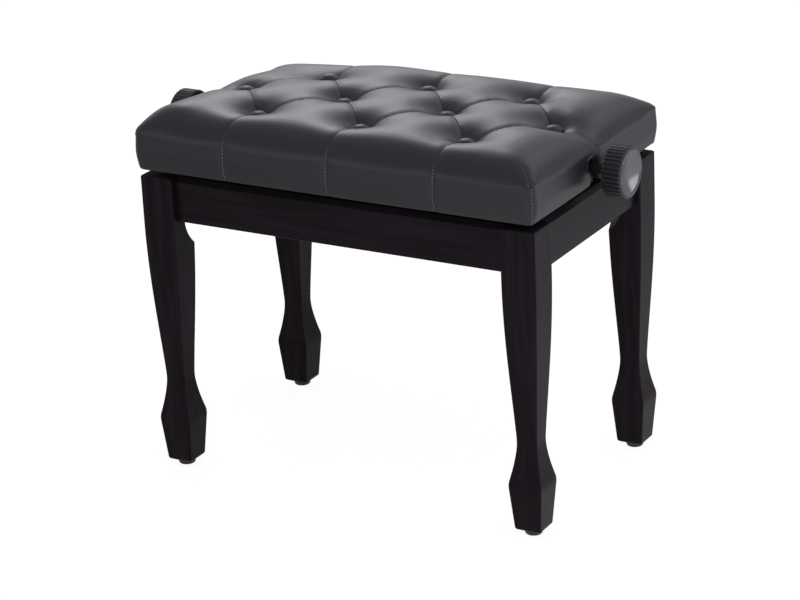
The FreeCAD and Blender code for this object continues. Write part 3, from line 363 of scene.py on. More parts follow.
def soft_light(name, azimuth, elevation, distance, width, height, brightness, colour):
    """A lamp that faces the seat, in degrees and metres; its power follows from its size and brightness."""
    lamp = bpy.data.lights.new(name, "AREA")
    lamp.shape = "RECTANGLE"
    lamp.size, lamp.size_y = width, height
    lamp.energy = brightness * width * height * math.pi
    lamp.color = colour
    turn, rise = math.radians(azimuth), math.radians(elevation)
    out = direction(turn, rise)
    side = np.array([math.cos(turn), math.sin(turn), 0.0])
    stand = np.eye(4)
    stand[:3] = np.column_stack([side, np.cross(out, side), out, LIGHT_AIM + out * distance])
    thing = in_scene(name, lamp)
    thing.matrix_world = Matrix(stand)
    thing.visible_camera = False
    print(name, "at", np.round(stand[:3, 3], 2), "power", round(lamp.energy, 1))


soft_light("light_behind", 214, 29, 4.5, 1.15, 1.9, 3.0, (0.98, 0.96, 1.02))
soft_light("light_behind_wide", 216, 22, 4.8, 4.2, 2.8, 0.35, (0.98, 0.96, 1.02))
soft_light("light_above", 55, 58, 3.6, 3.0, 2.4, 1.2, (0.98, 0.97, 1.04))
soft_light("light_back_right", 165, 43, 4.5, 2.4, 2.0, 1.0, (0.98, 0.97, 1.03))
soft_light("light_right", 122, 4, 4.0, 2.4, 1.0, 2.6, (0.98, 0.97, 1.03))
soft_light("light_front_left", -25, 9, 4.5, 2.5, 0.9, 1.4, (0.85, 0.9, 1.0))


# %% [markdown]
# Leather: a satin cover with a fine pebble grain. Its seams run from button to button in a zigzag, and
# straight over the edges to the hem. The same formula that presses the seams into the mesh darkens
# them here as painted shade in the seam grooves, so colour and shape always agree.

# %% Leather and thread
SEAT_END, SEAT_FRONT = 278.0, 170.5
PITCH, ROW = 146.0, 85.0
LAST = 1.5 * PITCH
LEAN = 1 / math.hypot(1, 2 * ROW / PITCH)
DART_FADE, DART_HIDDEN = (0.140, 0.150), 0.02
GROOVE_AND_SHADE_INSIDE, GROOVE_AND_SHADE_OUTSIDE = 0.0003, 0.0011


def seam_wire(place):
    """Distance to the nearest seam in metres: a zigzag, straight lines outside it, darts at the corners."""
    x, y = place.parts()[:2]
    along, across = abs(x), abs(y)
    step = along.math("PINGPONG", x, PITCH / 2 * MM)
    zigzag = abs(across - (1 - step / (PITCH / 2 * MM)) * (ROW * MM)) * LEAN
    in_row = across < ROW * MM
    in_length = along < LAST * MM
    top = in_row * zigzag + (1 - in_row) * step
    dart = abs(along - across - (SEAT_END - SEAT_FRONT) * MM) * math.sqrt(0.5)
    off_corner = fade(across, *DART_FADE, DART_HIDDEN, 0.0)
    end = along.math("MINIMUM", across, dart + off_corner)
    return in_length * top + (1 - in_length) * end


def leather_paint(place):
    """Near-black leather: pebbles from a cell pattern, clouds of wear, and a groove at each seam, darkened as
    painted shade.
    """
    pebble = place.node("TexVoronoi", {"feature": "SMOOTH_F1"},
                        {"Vector": place, "Scale": 900.0, "Smoothness": 0.6}, "Distance")
    cloud = noise(place, 28.0, 4.0)
    seam_groove_and_shade = fade(seam_wire(place), GROOVE_AND_SHADE_INSIDE, GROOVE_AND_SHADE_OUTSIDE)
    tone = blend_colour(cloud, (0.0135, 0.0137, 0.016, 1), (0.0185, 0.0188, 0.0215, 1))
    # painted shade: the base colour goes nearly black along the seam grooves
    colour = blend_colour(seam_groove_and_shade, grey(0.003), tone)
    relief = bump(pebble * 0.12 + seam_groove_and_shade * 0.88, 0.55, 0.0006)
    return {"Base Color": colour, "Roughness": 0.36 + cloud * 0.06 - pebble * 0.04,
            "Specular IOR Level": 0.36, "Normal": relief}


THREAD_SHADE_FROM, THREAD_SHADE_TO = 0.452, 0.470


def thread_paint(place):
    """Twisted thread: grey down the sides, and painted dark on top of the seat, a painted shade where it is
    drawn into the seams.
    """
    twist = place.node("TexWave", None, {"Vector": place, "Scale": 900.0, "Distortion": 1.0}, "Fac")
    side = blend_colour(twist, (0.13, 0.13, 0.14, 1), (0.30, 0.30, 0.32, 1))
    # painted shade: stitches on top of the seat are dark, stitches down the sides stay grey
    painted_shade_on_top = fade(place.parts()[2], THREAD_SHADE_FROM, THREAD_SHADE_TO)
    return {"Base Color": blend_colour(painted_shade_on_top, side, (0.008, 0.008, 0.009, 1)),
            "Roughness": 0.6, "Normal": bump(twist, 0.4, 0.0002)}


leather = make_finish("cover_leather", leather_paint)
thread = make_finish("seam_thread", thread_paint)
print("leather and thread are ready")


# %% [markdown]
# Lacquered wood: a nearly black brown coat over fine grain. The grain is noise drawn out along the
# board, so each direction of board gets its own copy of the finish. The sawn tops of the legs and aprons,
# hidden below the hem, are left matt.

# %% Lacquered and bare wood
GRAIN = {"long": (0.06, 1, 1), "cross": (1, 0.06, 1), "upright": (1, 1, 0.06)}
LACQUER_DARK, LACQUER_LIGHT = (0.0076, 0.0066, 0.0078, 1), (0.0144, 0.0112, 0.0134, 1)
LEG_TOP = node_box("leg_front_right")[1, 2]
SAWN_FROM, SAWN_TO, SAWN_MATT = (LEG_TOP - 1.1) * MM, (LEG_TOP - 0.2) * MM, 0.6


def lacquer_paint(stretch):
    """Dark lacquer: long streaks of brown, a little orange peel, and gloss that ends at the sawn tops."""
    def paint(place):
        streak = noise(stretched(place, *stretch), 90.0, 5.0)
        peel = noise(place, 420.0, 1.0)
        sawn_top = fade(place.parts()[2], SAWN_FROM, SAWN_TO, 0.0, SAWN_MATT)
        return {"Base Color": blend_colour(fade(streak, 0.35, 0.7), LACQUER_DARK, LACQUER_LIGHT),
                "Roughness": 0.20 + streak * 0.08 + sawn_top,
                "Specular IOR Level": 0.075, "Specular Tint": (1.0, 0.72, 0.93, 1),
                "Normal": bump(streak * 0.5 + peel * 0.5, 0.06, 0.0004)}
    return paint


def bare_paint(stretch):
    """Nearly black plywood and beech: dull streaks with darker pores."""
    def paint(place):
        streak = noise(stretched(place, *stretch), 60.0, 6.0)
        pore = noise(stretched(place, *stretch), 320.0, 2.0)
        tone = blend_colour(fade(streak, 0.3, 0.75), (0.010, 0.008, 0.007, 1), (0.024, 0.019, 0.016, 1))
        flecked = blend_colour(fade(pore, 0.62, 0.72), tone, (0.005, 0.004, 0.004, 1))
        return {"Base Color": flecked, "Roughness": 0.6, "Specular IOR Level": 0.25,
                "Normal": bump(streak, 0.15, 0.0004)}
    return paint


lacquer = {way: make_finish("lacquer_" + way, lacquer_paint(stretch)) for way, stretch in GRAIN.items()}
bare = {way: make_finish("bare_" + way, bare_paint(stretch)) for way, stretch in GRAIN.items()}
print("wood finishes:", sorted(lacquer), sorted(bare))


# %% [markdown]
# Metal and plastic: powder coat has a fine orange peel, zinc plate has pale blooms, moulded plastic is
# matt with a very fine spark texture, and the knob's cap is smooth grey with a plated sheen.

# %% Metal and plastic
ZINC_DARK, ZINC_LIGHT = (0.46, 0.46, 0.45), (0.62, 0.62, 0.6)
SPECKLED = {
    "black_steel": ((0.012, 0.012, 0.013), (0.02, 0.02, 0.021), 60, 0.42),
    "zinc_steel": (ZINC_DARK, ZINC_LIGHT, 45, 0.32, 1.0),
    "nylon": ((0.012, 0.012, 0.012), (0.02, 0.02, 0.02), 80, 0.5),
    "knob_plastic": ((0.010, 0.0105, 0.012), (0.015, 0.0155, 0.017), 120, 0.34),
    "cap_plastic": ((0.125, 0.125, 0.131), (0.145, 0.145, 0.152), 50, 0.2, 0.85, 0.01),
}


def speckled_paint(dark, light, scale, rough, metallic=0.0, relief=0.1):
    """Clouds between a dark and a light tone, with gloss that follows them and relief eight times as fine."""
    def paint(place):
        cloud = noise(place, scale, 3.0)
        fine = noise(place, scale * 8, 1.0)
        return {"Base Color": blend_colour(cloud, (*dark, 1), (*light, 1)), "Metallic": metallic,
                "Roughness": rough - 0.05 + cloud * 0.1, "Normal": bump(fine, relief, 0.0003)}
    return paint


finishes = {name: make_finish(name, speckled_paint(*how)) for name, how in SPECKLED.items()}
finishes["cover_leather"] = leather
print("finishes:", sorted(finishes))


# %% [markdown]
# The CAD nodes that stay in view, such as the lift's arms and channels, already have the right shape,
# so they only get these finishes. Boards take the copy whose grain runs along them. The zinc fasteners that
# show through the notch for the rod take the black steel finish as painted shade in the dark notch.

# %% Finishes on the CAD nodes
# painted shade: these zinc fasteners take the black steel finish because they sit in the dark notch
NOTCH_SHADE_FASTENERS = ("bearing_screws", "leg_bolts")


def grain_way(name):
    """The direction of a board, from where it is on the bench."""
    return "cross" if name.endswith(("left", "right")) else "long"


for part in frame["record"]["subparts"]:
    node, slot = part["node"], part["material_slot"]
    if slot == "frame_wood":
        finish = bare["upright" if node.startswith("corner_block") else grain_way(node)]
    elif slot == "lacquered_wood":
        finish = lacquer[grain_way(node)]
    else:
        finish = finishes["black_steel" if node in NOTCH_SHADE_FASTENERS else slot]
    for material_slot in frame["nodes"][node].material_slots:
        material_slot.material = finish


# %% [markdown]
# The legs are square, swell gently from a narrow ankle, and end in a spade foot with a soft shoulder.
# A lathe can't make them: on the real bench they are sawn to a curve on all four sides and sanded.
# So the shape is a rounded square whose width follows the height, with the inner corner cut away.

# %% Leg profile
leg_low, leg_high = node_box("leg_front_right")
LEG_WIDE, GLIDE_TOP = leg_high[0] - leg_low[0], leg_low[2]
APRON_BOTTOM = node_box("apron_front")[0, 2]
ANKLE, SHOULDER, SHOULDER_SOFT = 122.0, 69.0, 7.0
ANKLE_WIDE, SPADE_WIDE, TOE_WIDE = 27.0, 45.0, 34.8
FLARE_POWER, SHAFT_POWER = 1.55, 1.18
TOE_DEEP, TOE_HIGH, TOP_DEEP, TOP_HIGH = 1.6, 2.4, 1.0, 1.5


def leg_width(z):
    """Foot: straight. Flare: a power of the way up to the ankle. Shaft: a power of a sine, then even."""
    foot = TOE_WIDE + (SPADE_WIDE - TOE_WIDE) * (z - GLIDE_TOP) / (SHOULDER - GLIDE_TOP)
    flare_way = np.clip((ANKLE - z) / (ANKLE - SHOULDER), 0, 1)
    flare = ANKLE_WIDE + (SPADE_WIDE - ANKLE_WIDE) * flare_way ** FLARE_POWER
    shaft_way = np.clip((z - ANKLE) / (APRON_BOTTOM - ANKLE), 0, 1)
    shaft = ANKLE_WIDE + (LEG_WIDE - ANKLE_WIDE) * np.sin(math.pi / 2 * shaft_way) ** SHAFT_POWER
    return np.where(z < SHOULDER, foot, np.where(z < ANKLE, flare, shaft))


def softened(z, reach):
    """The width averaged over a short stretch of height, which rounds the shoulder."""
    shifts = np.linspace(-1, 1, 9)
    weight = 1 - 0.9 * shifts ** 2
    return sum(w * leg_width(z + reach * s) for w, s in zip(weight, shifts)) / weight.sum()


leg_z = np.concatenate([GLIDE_TOP + np.array([0, 0.15, 0.6, 1.3, 2.4, 4, 8, 16, 26, 36, 46]),
                        np.arange(56, 86, 1.5), np.arange(86, 134, 3.0), np.arange(134, 296, 6.0),
                        np.arange(296, 338, 3.0), [339, 350, 365, 380, 390, 393.6, 394.5, 395.2, LEG_TOP]])
leg_half = softened(leg_z, SHOULDER_SOFT) / 2
leg_half -= TOE_DEEP * np.clip(1 - (leg_z - GLIDE_TOP) / TOE_HIGH, 0, 1) ** 2
leg_half -= TOP_DEEP * np.clip((leg_z - LEG_TOP + TOP_HIGH) / TOP_HIGH, 0, 1) ** 2
marks = [np.abs(leg_z - height).argmin() for height in (ANKLE, SHOULDER, APRON_BOTTOM)]
print("leg width at ankle, shoulder and apron:", np.round(2 * leg_half[marks], 1))


# %% Leg surface
BASE_END, BASE_FRONT = leg_high[0], -leg_low[1]
ARRIS, BESIDE = 2.6, 0.8
ARC = np.radians(np.linspace(0, 90, 7))
CUT, RUNOUT = 21.0, 41.0


def corner_points(half, cut):
    """One corner of the section: a quarter round or a flat cut, and a point on the face at each side."""
    half, cut = half[:, None], cut[:, None]
    inner = half - ARRIS
    round_x, round_y = inner + ARRIS * np.cos(ARC), inner + ARRIS * np.sin(ARC)
    share = np.array([0, 0.04, 0.1, 0.5, 0.9, 0.96, 1])
    cut_x, cut_y = half - cut * share, half - cut * (1 - share)
    shown = cut > ARRIS
    x, y = np.where(shown, cut_x, round_x), np.where(shown, cut_y, round_y)
    lead = np.where(shown, np.maximum(half - cut - BESIDE, 0), inner - BESIDE)
    x = np.hstack([half + 0 * lead, x, lead])
    y = np.hstack([lead, y, half + 0 * lead])
    return np.stack([x, y], -1)


def inner_cut(z, half):
    """Size of the cut at the inner corner: full behind the aprons, then an arc that runs out below them."""
    depth = CUT / math.sqrt(2)
    bend = (depth ** 2 + RUNOUT ** 2) / (2 * depth)
    below = np.clip(APRON_BOTTOM - z, 0, RUNOUT)
    reach = (LEG_WIDE - CUT) / math.sqrt(2) + bend - np.sqrt(bend ** 2 - below ** 2)
    return np.where(z < APRON_BOTTOM - RUNOUT, 0, np.maximum(2 * half - math.sqrt(2) * reach, 0))


def leg_axis(side_x, side_y):
    """Where a leg's axis meets the floor: half a leg in from the base's end and front."""
    return np.array([side_x * (BASE_END - LEG_WIDE / 2), side_y * (BASE_FRONT - LEG_WIDE / 2), 0])


def leg_grid(side_x, side_y):
    """Four corners turned round the leg's axis, then closed by a point at the top and one at the bottom."""
    cuts = [0 * leg_z] * 4
    turn_of = {(-1, -1): 0, (1, -1): 1, (1, 1): 2, (-1, 1): 3}
    cuts[turn_of[side_x, side_y]] = inner_cut(leg_z, leg_half)
    rows = []
    for quarter, cut in enumerate(cuts):
        x, y = np.moveaxis(corner_points(leg_half, cut), -1, 0)
        c, s = round(math.cos(math.pi / 2 * quarter)), round(math.sin(math.pi / 2 * quarter))
        rows.append(np.stack([c * x - s * y, s * x + c * y, np.repeat(leg_z[:, None], x.shape[1], 1)], -1))
    ring = np.concatenate(rows, 1)
    low, high = ring[:1] * [0, 0, 1], ring[-1:] * [0, 0, 1]
    return np.concatenate([low, ring, high]) + leg_axis(side_x, side_y)


CORNERS = {"front_left": (-1, -1), "front_right": (1, -1), "back_left": (-1, 1), "back_right": (1, 1)}
for corner, (side_x, side_y) in CORNERS.items():
    add_piece(f"turned_leg_{corner}", [(leg_grid(side_x, side_y), True)], "base",
              lacquer["upright"], [f"leg_{corner}"])


# %% [markdown]
# The aprons are plain boards between the legs. Their edges are softened, and a bevel along the outer top
# leaves a dark gap under the hem. A box with the Bevel modifier would round all four edges alike, so a
# section is carried from end to end instead, which also keeps the ends closed.

# %% Aprons
def board_grid(low, high, along, soft=1.6, bevel=6.0):
    """A section carried along x or y: quarter rounds at three corners and a flat bevel at the outer top."""
    other = 1 - along
    arc = np.radians(np.linspace(0, 90, 5))
    half = np.array([high[other] - low[other], high[2] - low[2]]) / 2
    middle = np.array([high[other] + low[other], high[2] + low[2]]) / 2
    section = []
    for quarter, (su, sv) in enumerate(((1, 1), (-1, 1), (-1, -1), (1, -1))):
        turn = arc + math.pi / 2 * quarter
        corner = np.column_stack([su * (half[0] - soft) + soft * np.cos(turn),
                                  sv * (half[1] - soft) + soft * np.sin(turn)])
        if sv > 0 and su * middle[0] > 0:
            cut = np.array([1, 0.94, 0.5, 0.06, 0]) * bevel
            down = cut if su > 0 else bevel - cut
            corner = np.column_stack([su * (half[0] - bevel + down), half[1] - down])
        section.append(corner)
    section = np.concatenate(section)
    ends = np.array([low[along], low[along], high[along], high[along]])
    grid = np.zeros((4, len(section), 3))
    grid[..., along] = ends[:, None]
    grid[..., other] = middle[0] + section[:, 0] * np.array([0, 1, 1, 0])[:, None]
    grid[..., 2] = middle[1] + section[:, 1] * np.array([0, 1, 1, 0])[:, None]
    return grid


for side, along in (("front", 0), ("back", 0), ("left", 1), ("right", 1)):
    low, high = node_box(f"apron_{side}")
    add_piece(f"apron_board_{side}", [(board_grid(low, high, along), True)], "base",
              lacquer["long" if along == 0 else "cross"], [f"apron_{side}"])


# %% [markdown]
# Round pieces are profiles turned about an axis. One helper turns a list of radius and height pairs;
# a short row on each side of an edge keeps the edge crisp under smooth shading.

# %% Floor glides
def turned_grid(profile, columns):
    """A profile of radius and height pairs turned about z: x is r cos a and y is r sin a."""
    radius, height = np.array(profile, float).T[..., None]
    a = np.linspace(0, 2 * math.pi, columns, endpoint=False)
    return np.stack([radius * np.cos(a), radius * np.sin(a), height + 0 * a], -1)


GLIDE_RADIUS, GLIDE_FLAT = 11.0, 8.6
GLIDE = [(0, 0), (GLIDE_FLAT - 0.4, 0), (GLIDE_FLAT, 0), (9.7, 0.4), (10.6, 1.3), (GLIDE_RADIUS, 2.4),
         (GLIDE_RADIUS, 3), (GLIDE_RADIUS, GLIDE_TOP - 0.3), (GLIDE_RADIUS, GLIDE_TOP), (0, GLIDE_TOP)]
for corner, (side_x, side_y) in CORNERS.items():
    glide = turned_grid(GLIDE, 40) + leg_axis(side_x, side_y)
    add_piece(f"glide_{corner}", [(glide, True)], "base", finishes["nylon"],
              [f"floor_glide_{corner}"])


# %% [markdown]
# Each knob is moulded plastic with straight ribs, so that damp fingers can turn it. The ribs are a wave
# in the radius that stops at the bevels: each point of the profile has a radius, a height and its share of
# the ribs. The grey cap in the knob's face is a shallow dish with a thin rim.

# %% Knobs and caps
rod_low, rod_high = node_box("lift_screw")
ROD_HEIGHT = (rod_low[2] + rod_high[2]) / 2
BORE, HUB, HUB_LONG, GRIP, POCKET = 6.1, 11.0, 9.0, 32.25, 28.5
KNOB_BACK = node_box("knob_right")[0, 0] + HUB_LONG
RIBS, GROOVE, RIB_STEEP, RIB_SHIFT = 36, 1.7, 1.15, 0.12
KNOB = [(0, 16.1, 0), (BORE, 16.1, 0), (BORE, 15.5, 0), (BORE, 0.3 - HUB_LONG, 0), (BORE, -HUB_LONG, 0),
        (6.4, -HUB_LONG, 0), (10.4, -HUB_LONG, 0), (HUB, 0.6 - HUB_LONG, 0), (HUB, -0.4, 0), (11.4, 0, 0),
        (29.6, 0, 0), (30.4, 0, 0.1),
        (31.6, 0.5, 0.5), (GRIP, 1.5, 1), (GRIP, 2.2, 1), (GRIP, 12, 1), (GRIP, 21.6, 1), (GRIP, 22.3, 1),
        (31.9, 23.2, 0.8), (31, 24.2, 0.35), (30.2, 24.8, 0.05), (29.6, 25, 0), (29.2, 25, 0), (28.7, 25, 0),
        (POCKET, 24.8, 0), (POCKET, 17.3, 0), (28.3, 17, 0), (0, 17, 0)]
CAP_RADIUS, DISH_RADIUS, DISH_FLOOR, DISH_DEPTH = 28.4, 26.5, 18.4, 6.2
CAP = [(0, 17.1), (28.1, 17.1), (CAP_RADIUS, 17.4), (CAP_RADIUS, 25.0), (28.2, 25.5), (27.8, 25.7),
       (27.3, 25.6), (26.9, 25.2)]
CAP += [(DISH_RADIUS * s, DISH_FLOOR + DISH_DEPTH * s ** 2) for s in np.linspace(1, 0, 22)]


def rib_wave(a):
    """1 on a groove's floor and 0 on a rib's top: a cosine pressed flat at both ends."""
    wave = np.cos(RIBS * a)
    return np.clip(0.5 + RIB_STEEP * (wave - RIB_SHIFT), 0, 1)


def knob_grid():
    """The turned profile, less the groove's depth times how far each row is ribbed."""
    profile = np.array(KNOB, float)
    columns = RIBS * 8
    a = np.linspace(0, 2 * math.pi, columns, endpoint=False)
    grid = turned_grid(profile[:, :2], columns)
    depth = GROOVE * profile[:, 2][:, None] * rib_wave(a)
    grid[..., 0] -= depth * np.cos(a)
    grid[..., 1] -= depth * np.sin(a)
    return grid


def on_rod(grid, sign):
    """Lay a turned shape along the rod: its height becomes x, at the left end or the right."""
    return np.stack([sign * (KNOB_BACK + grid[..., 2]), grid[..., 0], ROD_HEIGHT + grid[..., 1]], -1)


for end, sign in (("left", -1), ("right", 1)):
    add_piece(f"ribbed_knob_{end}", [(on_rod(knob_grid(), sign), True)], "screw",
              finishes["knob_plastic"], [f"knob_{end}"], 30)
    add_piece(f"dished_cap_{end}", [(on_rod(turned_grid(CAP, 96), sign), True)], "screw",
              finishes["cap_plastic"], [f"knob_cap_{end}"], 50)


# %% [markdown]
# The screw rod lifts the seat. Its thread is a ridge that climbs four millimetres a turn: the radius
# depends on how far along the rod a point is, less its share of a turn. The ends run plain in the bushes.

# %% Screw rod
LEAD, THREAD_DEEP, THREAD_FADE = 4.0, 1.1, 6.0
THREAD_END, ROD_SHOULDER, ROD_END = 229.0, 240.2, rod_high[0]
ROD_RADIUS, JOURNAL, ROD_BEVEL = (rod_high[2] - rod_low[2]) / 2, 6.0, 0.8


def rod_grid(columns=20, steps=8):
    """Radius: a saw with cut tips, of the place along the rod and the angle, faded at the thread's ends."""
    threaded = np.arange(-THREAD_END, THREAD_END + 0.01, LEAD / steps)
    tail = np.array([(THREAD_END + 1.5, ROD_RADIUS), (236, ROD_RADIUS),
                     (ROD_SHOULDER - ROD_BEVEL, ROD_RADIUS), (ROD_SHOULDER, 6.4), (ROD_SHOULDER, JOURNAL),
                     (ROD_SHOULDER + 0.6, JOURNAL), (270, JOURNAL), (ROD_END - ROD_BEVEL, JOURNAL),
                     (ROD_END, JOURNAL - ROD_BEVEL), (ROD_END, 0)])
    x = np.concatenate([-tail[::-1, 0], threaded, tail[:, 0]])
    plain = np.concatenate([tail[::-1, 1], np.full(len(threaded), ROD_RADIUS), tail[:, 1]])
    a = np.linspace(0, 2 * math.pi, columns, endpoint=False)
    ridge = np.abs((x[:, None] / LEAD - a / (2 * math.pi)) % 1 - 0.5) * 2
    faded = np.clip((THREAD_END - np.abs(x)) / THREAD_FADE, 0, 1)
    depth = THREAD_DEEP * np.clip(1.3 * ridge - 0.15, 0, 1) * faded[:, None]
    r = plain[:, None] - depth
    return np.stack([np.repeat(x[:, None], columns, 1), r * np.cos(a), ROD_HEIGHT + r * np.sin(a)], -1)


END_SHADE_SPAN = (0.236, 0.242)


def rod_paint(place):
    """Zinc plate, with painted shade on the ends where the rod runs in its bushes: nearly black and not
    metallic.
    """
    # painted shade: the plain ends go nearly black and lose their metal
    painted_shade_end = fade(abs(place.parts()[0]), *END_SHADE_SPAN)
    bloom = blend_colour(noise(place, 45.0, 3.0), (*ZINC_DARK, 1), (*ZINC_LIGHT, 1))
    return {"Base Color": blend_colour(painted_shade_end, bloom, grey(0.015)), "Metallic": 1 - painted_shade_end, "Roughness": 0.34}


rod_steel = make_finish("rod_steel", rod_paint)
add_piece("threaded_rod", [(rod_grid(), True)], "screw", rod_steel, ["lift_screw"])


# %% [markdown]
# The seat is a foam pad under a sewn leather cover, drawn down by ten covered buttons. The heights were
# read off the photograph along its seams: a bell round each button fits them to a millimetre or two, and
# the edges are quarter ellipses. The foam has settled at the back and most at the back left, as it has there.

# %% Seat top: the height of the leather
HEM = node_box("side_padding_front")[0, 2]
board_high = node_box("seat_board")[1]
SHOULDER_Z, CROWN = 446.0, 479.0
END_ROUND, FRONT_ROUND, PLAN_ROUND = 56.0, 40.0, 10.0
BUTTONS = np.array([(step * PITCH / 2, row * ROW) for row in (-1, 0, 1) for step in range(-3, 4)
                    if (step + row) % 2])
DART_FROM = 148.0
BELL_DEEP, BELL_WIDE, BELL_POWER = 20.0, 21.5, 1.5
VALLEY_DEEP, VALLEY_WIDE = 12.0, 46.0
BACK_SAG, CORNER_SAG, CORNER_FULL = 5.0, 15.0, 8.0


def ease(value, start, end):
    """0 before start, 1 after end, and a smooth cubic between them."""
    t = np.clip((value - start) / (end - start), 0, 1)
    return t * t * (3 - 2 * t)


def seam_distance(x, y):
    """Distance to the nearest seam, as in the leather: a zigzag, straight lines outside it, corner darts."""
    along, across = np.abs(x), np.abs(y)
    step = np.abs((x + PITCH / 2) % PITCH - PITCH / 2)
    zigzag = np.abs(across - ROW * (1 - 2 * step / PITCH)) * LEAN
    top = np.where(across < ROW, zigzag, step)
    dart = np.abs(along - across - (SEAT_END - SEAT_FRONT)) * math.sqrt(0.5)
    off_corner = np.clip(DART_FROM - across, 0, 9) * 4
    return np.where(along < LAST, top, np.minimum(across, dart + off_corner))


def dimples(x, y):
    """How far the leather is drawn down: a bell at each button, and a valley from the last over each end."""
    away = np.hypot(x[..., None] - BUTTONS[:, 0], y[..., None] - BUTTONS[:, 1])
    bells = (BELL_DEEP * np.exp(-(away / BELL_WIDE) ** BELL_POWER)).sum(-1)
    return bells + VALLEY_DEEP * np.exp(-(y / VALLEY_WIDE) ** 2) * ease(np.abs(x), 214, 280)


def crest(x, y):
    """Height before the edges are rounded: a low dome less dimples and sag, fuller at the front left."""
    dome = CROWN - (x / SEAT_END) ** 2 - (y / SEAT_FRONT) ** 2
    sag = BACK_SAG * ease(y, 20, 140) + CORNER_SAG * ease(-x, 60, 260) * ease(y, -20, 120)
    full = CORNER_FULL * ease(-x, 190, 262) * ease(-y, 50, 140)
    return dome - sag + full - dimples(x, y)


def rounded_axis(pitch, steps, inside, reach, angles):
    """Places along one side: even steps, then a rounding cut by equal angles; and each share of height."""
    even = np.arange(0, inside + 1e-6, pitch / steps)
    turn = np.radians(np.linspace(0, 90, angles + 1)[1:])
    start = even[-1]
    place = np.concatenate([even, start + (reach - start) * np.sin(turn)])
    share = np.concatenate([np.ones(len(even)), np.cos(turn)])
    return np.concatenate([-place[:0:-1], place]), np.concatenate([share[:0:-1], share])


PITCH_STEPS, END_ANGLES, ROW_STEPS, FRONT_ANGLES = 80, 20, 40, 18
line_x, share_x = rounded_axis(PITCH, PITCH_STEPS, SEAT_END - END_ROUND, SEAT_END, END_ANGLES)
line_y, share_y = rounded_axis(ROW, ROW_STEPS, SEAT_FRONT - FRONT_ROUND, SEAT_FRONT, FRONT_ANGLES)
flat_x, flat_y = np.meshgrid(line_x, line_y)
share = share_y[:, None] * share_x[None, :]
print("seat top grid:", flat_x.shape)


# %% Seat top: rounded corners, seams and darts
def round_corners(x, y):
    """Press the four square corners of the plan into quarter circles, keeping each point's way out."""
    qx = (np.abs(x) - SEAT_END + PLAN_ROUND) / PLAN_ROUND
    qy = (np.abs(y) - SEAT_FRONT + PLAN_ROUND) / PLAN_ROUND
    inside = (qx <= 0) | (qy <= 0)
    qx, qy = np.where(inside, 1, qx), np.where(inside, 0, qy)
    press = np.maximum(qx, qy) / np.hypot(qx, qy)
    new_x = np.sign(x) * (SEAT_END - PLAN_ROUND + PLAN_ROUND * qx * press)
    new_y = np.sign(y) * (SEAT_FRONT - PLAN_ROUND + PLAN_ROUND * qy * press)
    return np.where(inside, x, new_x), np.where(inside, y, new_y)


def surface_normals(grid):
    """Unit normals of a grid: the cross product of its two directions."""
    normal = np.cross(np.gradient(grid, axis=1), np.gradient(grid, axis=0))
    return normal / np.linalg.norm(normal, axis=-1, keepdims=True)


VALE_DEEP, VALE_WIDE, NICK_DEEP, NICK_WIDE, END_SHARE = 0.7, 5.0, 0.45, 2.0, 0.55


def seam_depth(x, y):
    """How deep a seam lies below the pillows: a wide bell and a narrow one, fainter past the last buttons."""
    d = seam_distance(x, y)
    faint = np.where(np.abs(x) < LAST, 1.0, END_SHARE)
    return faint * (VALE_DEEP * np.exp(-(d / VALE_WIDE) ** 2) + NICK_DEEP * np.exp(-(d / NICK_WIDE) ** 2))


EDGE_RISE, EDGE_RISE_WIDE, EDGE_SAG = 6.0, 30.0, 9.0
plan_x, plan_y = round_corners(flat_x, flat_y)
from_corner = np.hypot(SEAT_END - np.abs(flat_x), SEAT_FRONT - np.abs(flat_y))
shoulder = SHOULDER_Z + EDGE_RISE * np.exp(-(from_corner / EDGE_RISE_WIDE) ** 2)
shoulder -= EDGE_SAG * ease(-flat_x, 170, 270) * ease(flat_y, 50, 150)
top_z = shoulder + (crest(flat_x, flat_y) - shoulder) * share
top = np.stack([plan_x, plan_y, top_z], -1)
print("seat top from", round(top[..., 2].min(), 1), "to", round(top[..., 2].max(), 1))


# %% [markdown]
# The pillows come from a cloth simulation. A coarse copy of the cover is held where it is sewn, at the
# seams, the buttons and the edge, and is blown up a little from inside, as foam does. How far its points
# moved is then spread over the fine grid, and the seams are pressed in after that.

# %% Seat top: pillows from a cloth simulation
SWELL_CAP, COARSE, ON_SEAM, ON_BUTTON = 4.0, 4, 0.5, 14.0


def coarse_steps(line):
    """Every fourth grid line counted from the middle, so that the seams keep their lines, and both ends."""
    middle = len(line) // 2
    inner = np.arange(0, middle - 2, COARSE)
    return np.concatenate([[0], middle - inner[::-1], middle + inner[1:], [len(line) - 1]])


def blown_up(grid, sewn, pressure=60.0, frames=20):
    """How far each point of a cloth moves in millimetres when it is held where sewn is true and blown up."""
    cloth = in_scene("cover_cloth", grid_mesh("cover_cloth", [(grid, False)], 0))
    cloth.vertex_groups.new(name="sewn").add(np.flatnonzero(sewn).tolist(), 1.0, "REPLACE")
    settings = cloth.modifiers.new("cloth", "CLOTH").settings
    settings.quality = 6
    settings.vertex_group_mass = "sewn"
    settings.use_pressure = True
    settings.uniform_pressure_force = pressure
    settings.effector_weights.gravity = 0
    for moment in range(1, frames + 1):
        scene.frame_set(moment)
    settled = cloth.evaluated_get(bpy.context.evaluated_depsgraph_get()).to_mesh()
    place = np.empty(grid.size, np.float32)
    settled.vertices.foreach_get("co", place)
    bpy.data.objects.remove(cloth)
    scene.frame_set(1)
    return place.reshape(grid.shape) / MM - grid


def spread(values, steps, count, axis):
    """Values at some grid lines carried over to every line between them."""
    return np.apply_along_axis(lambda line: np.interp(np.arange(count), steps, line), axis, values)


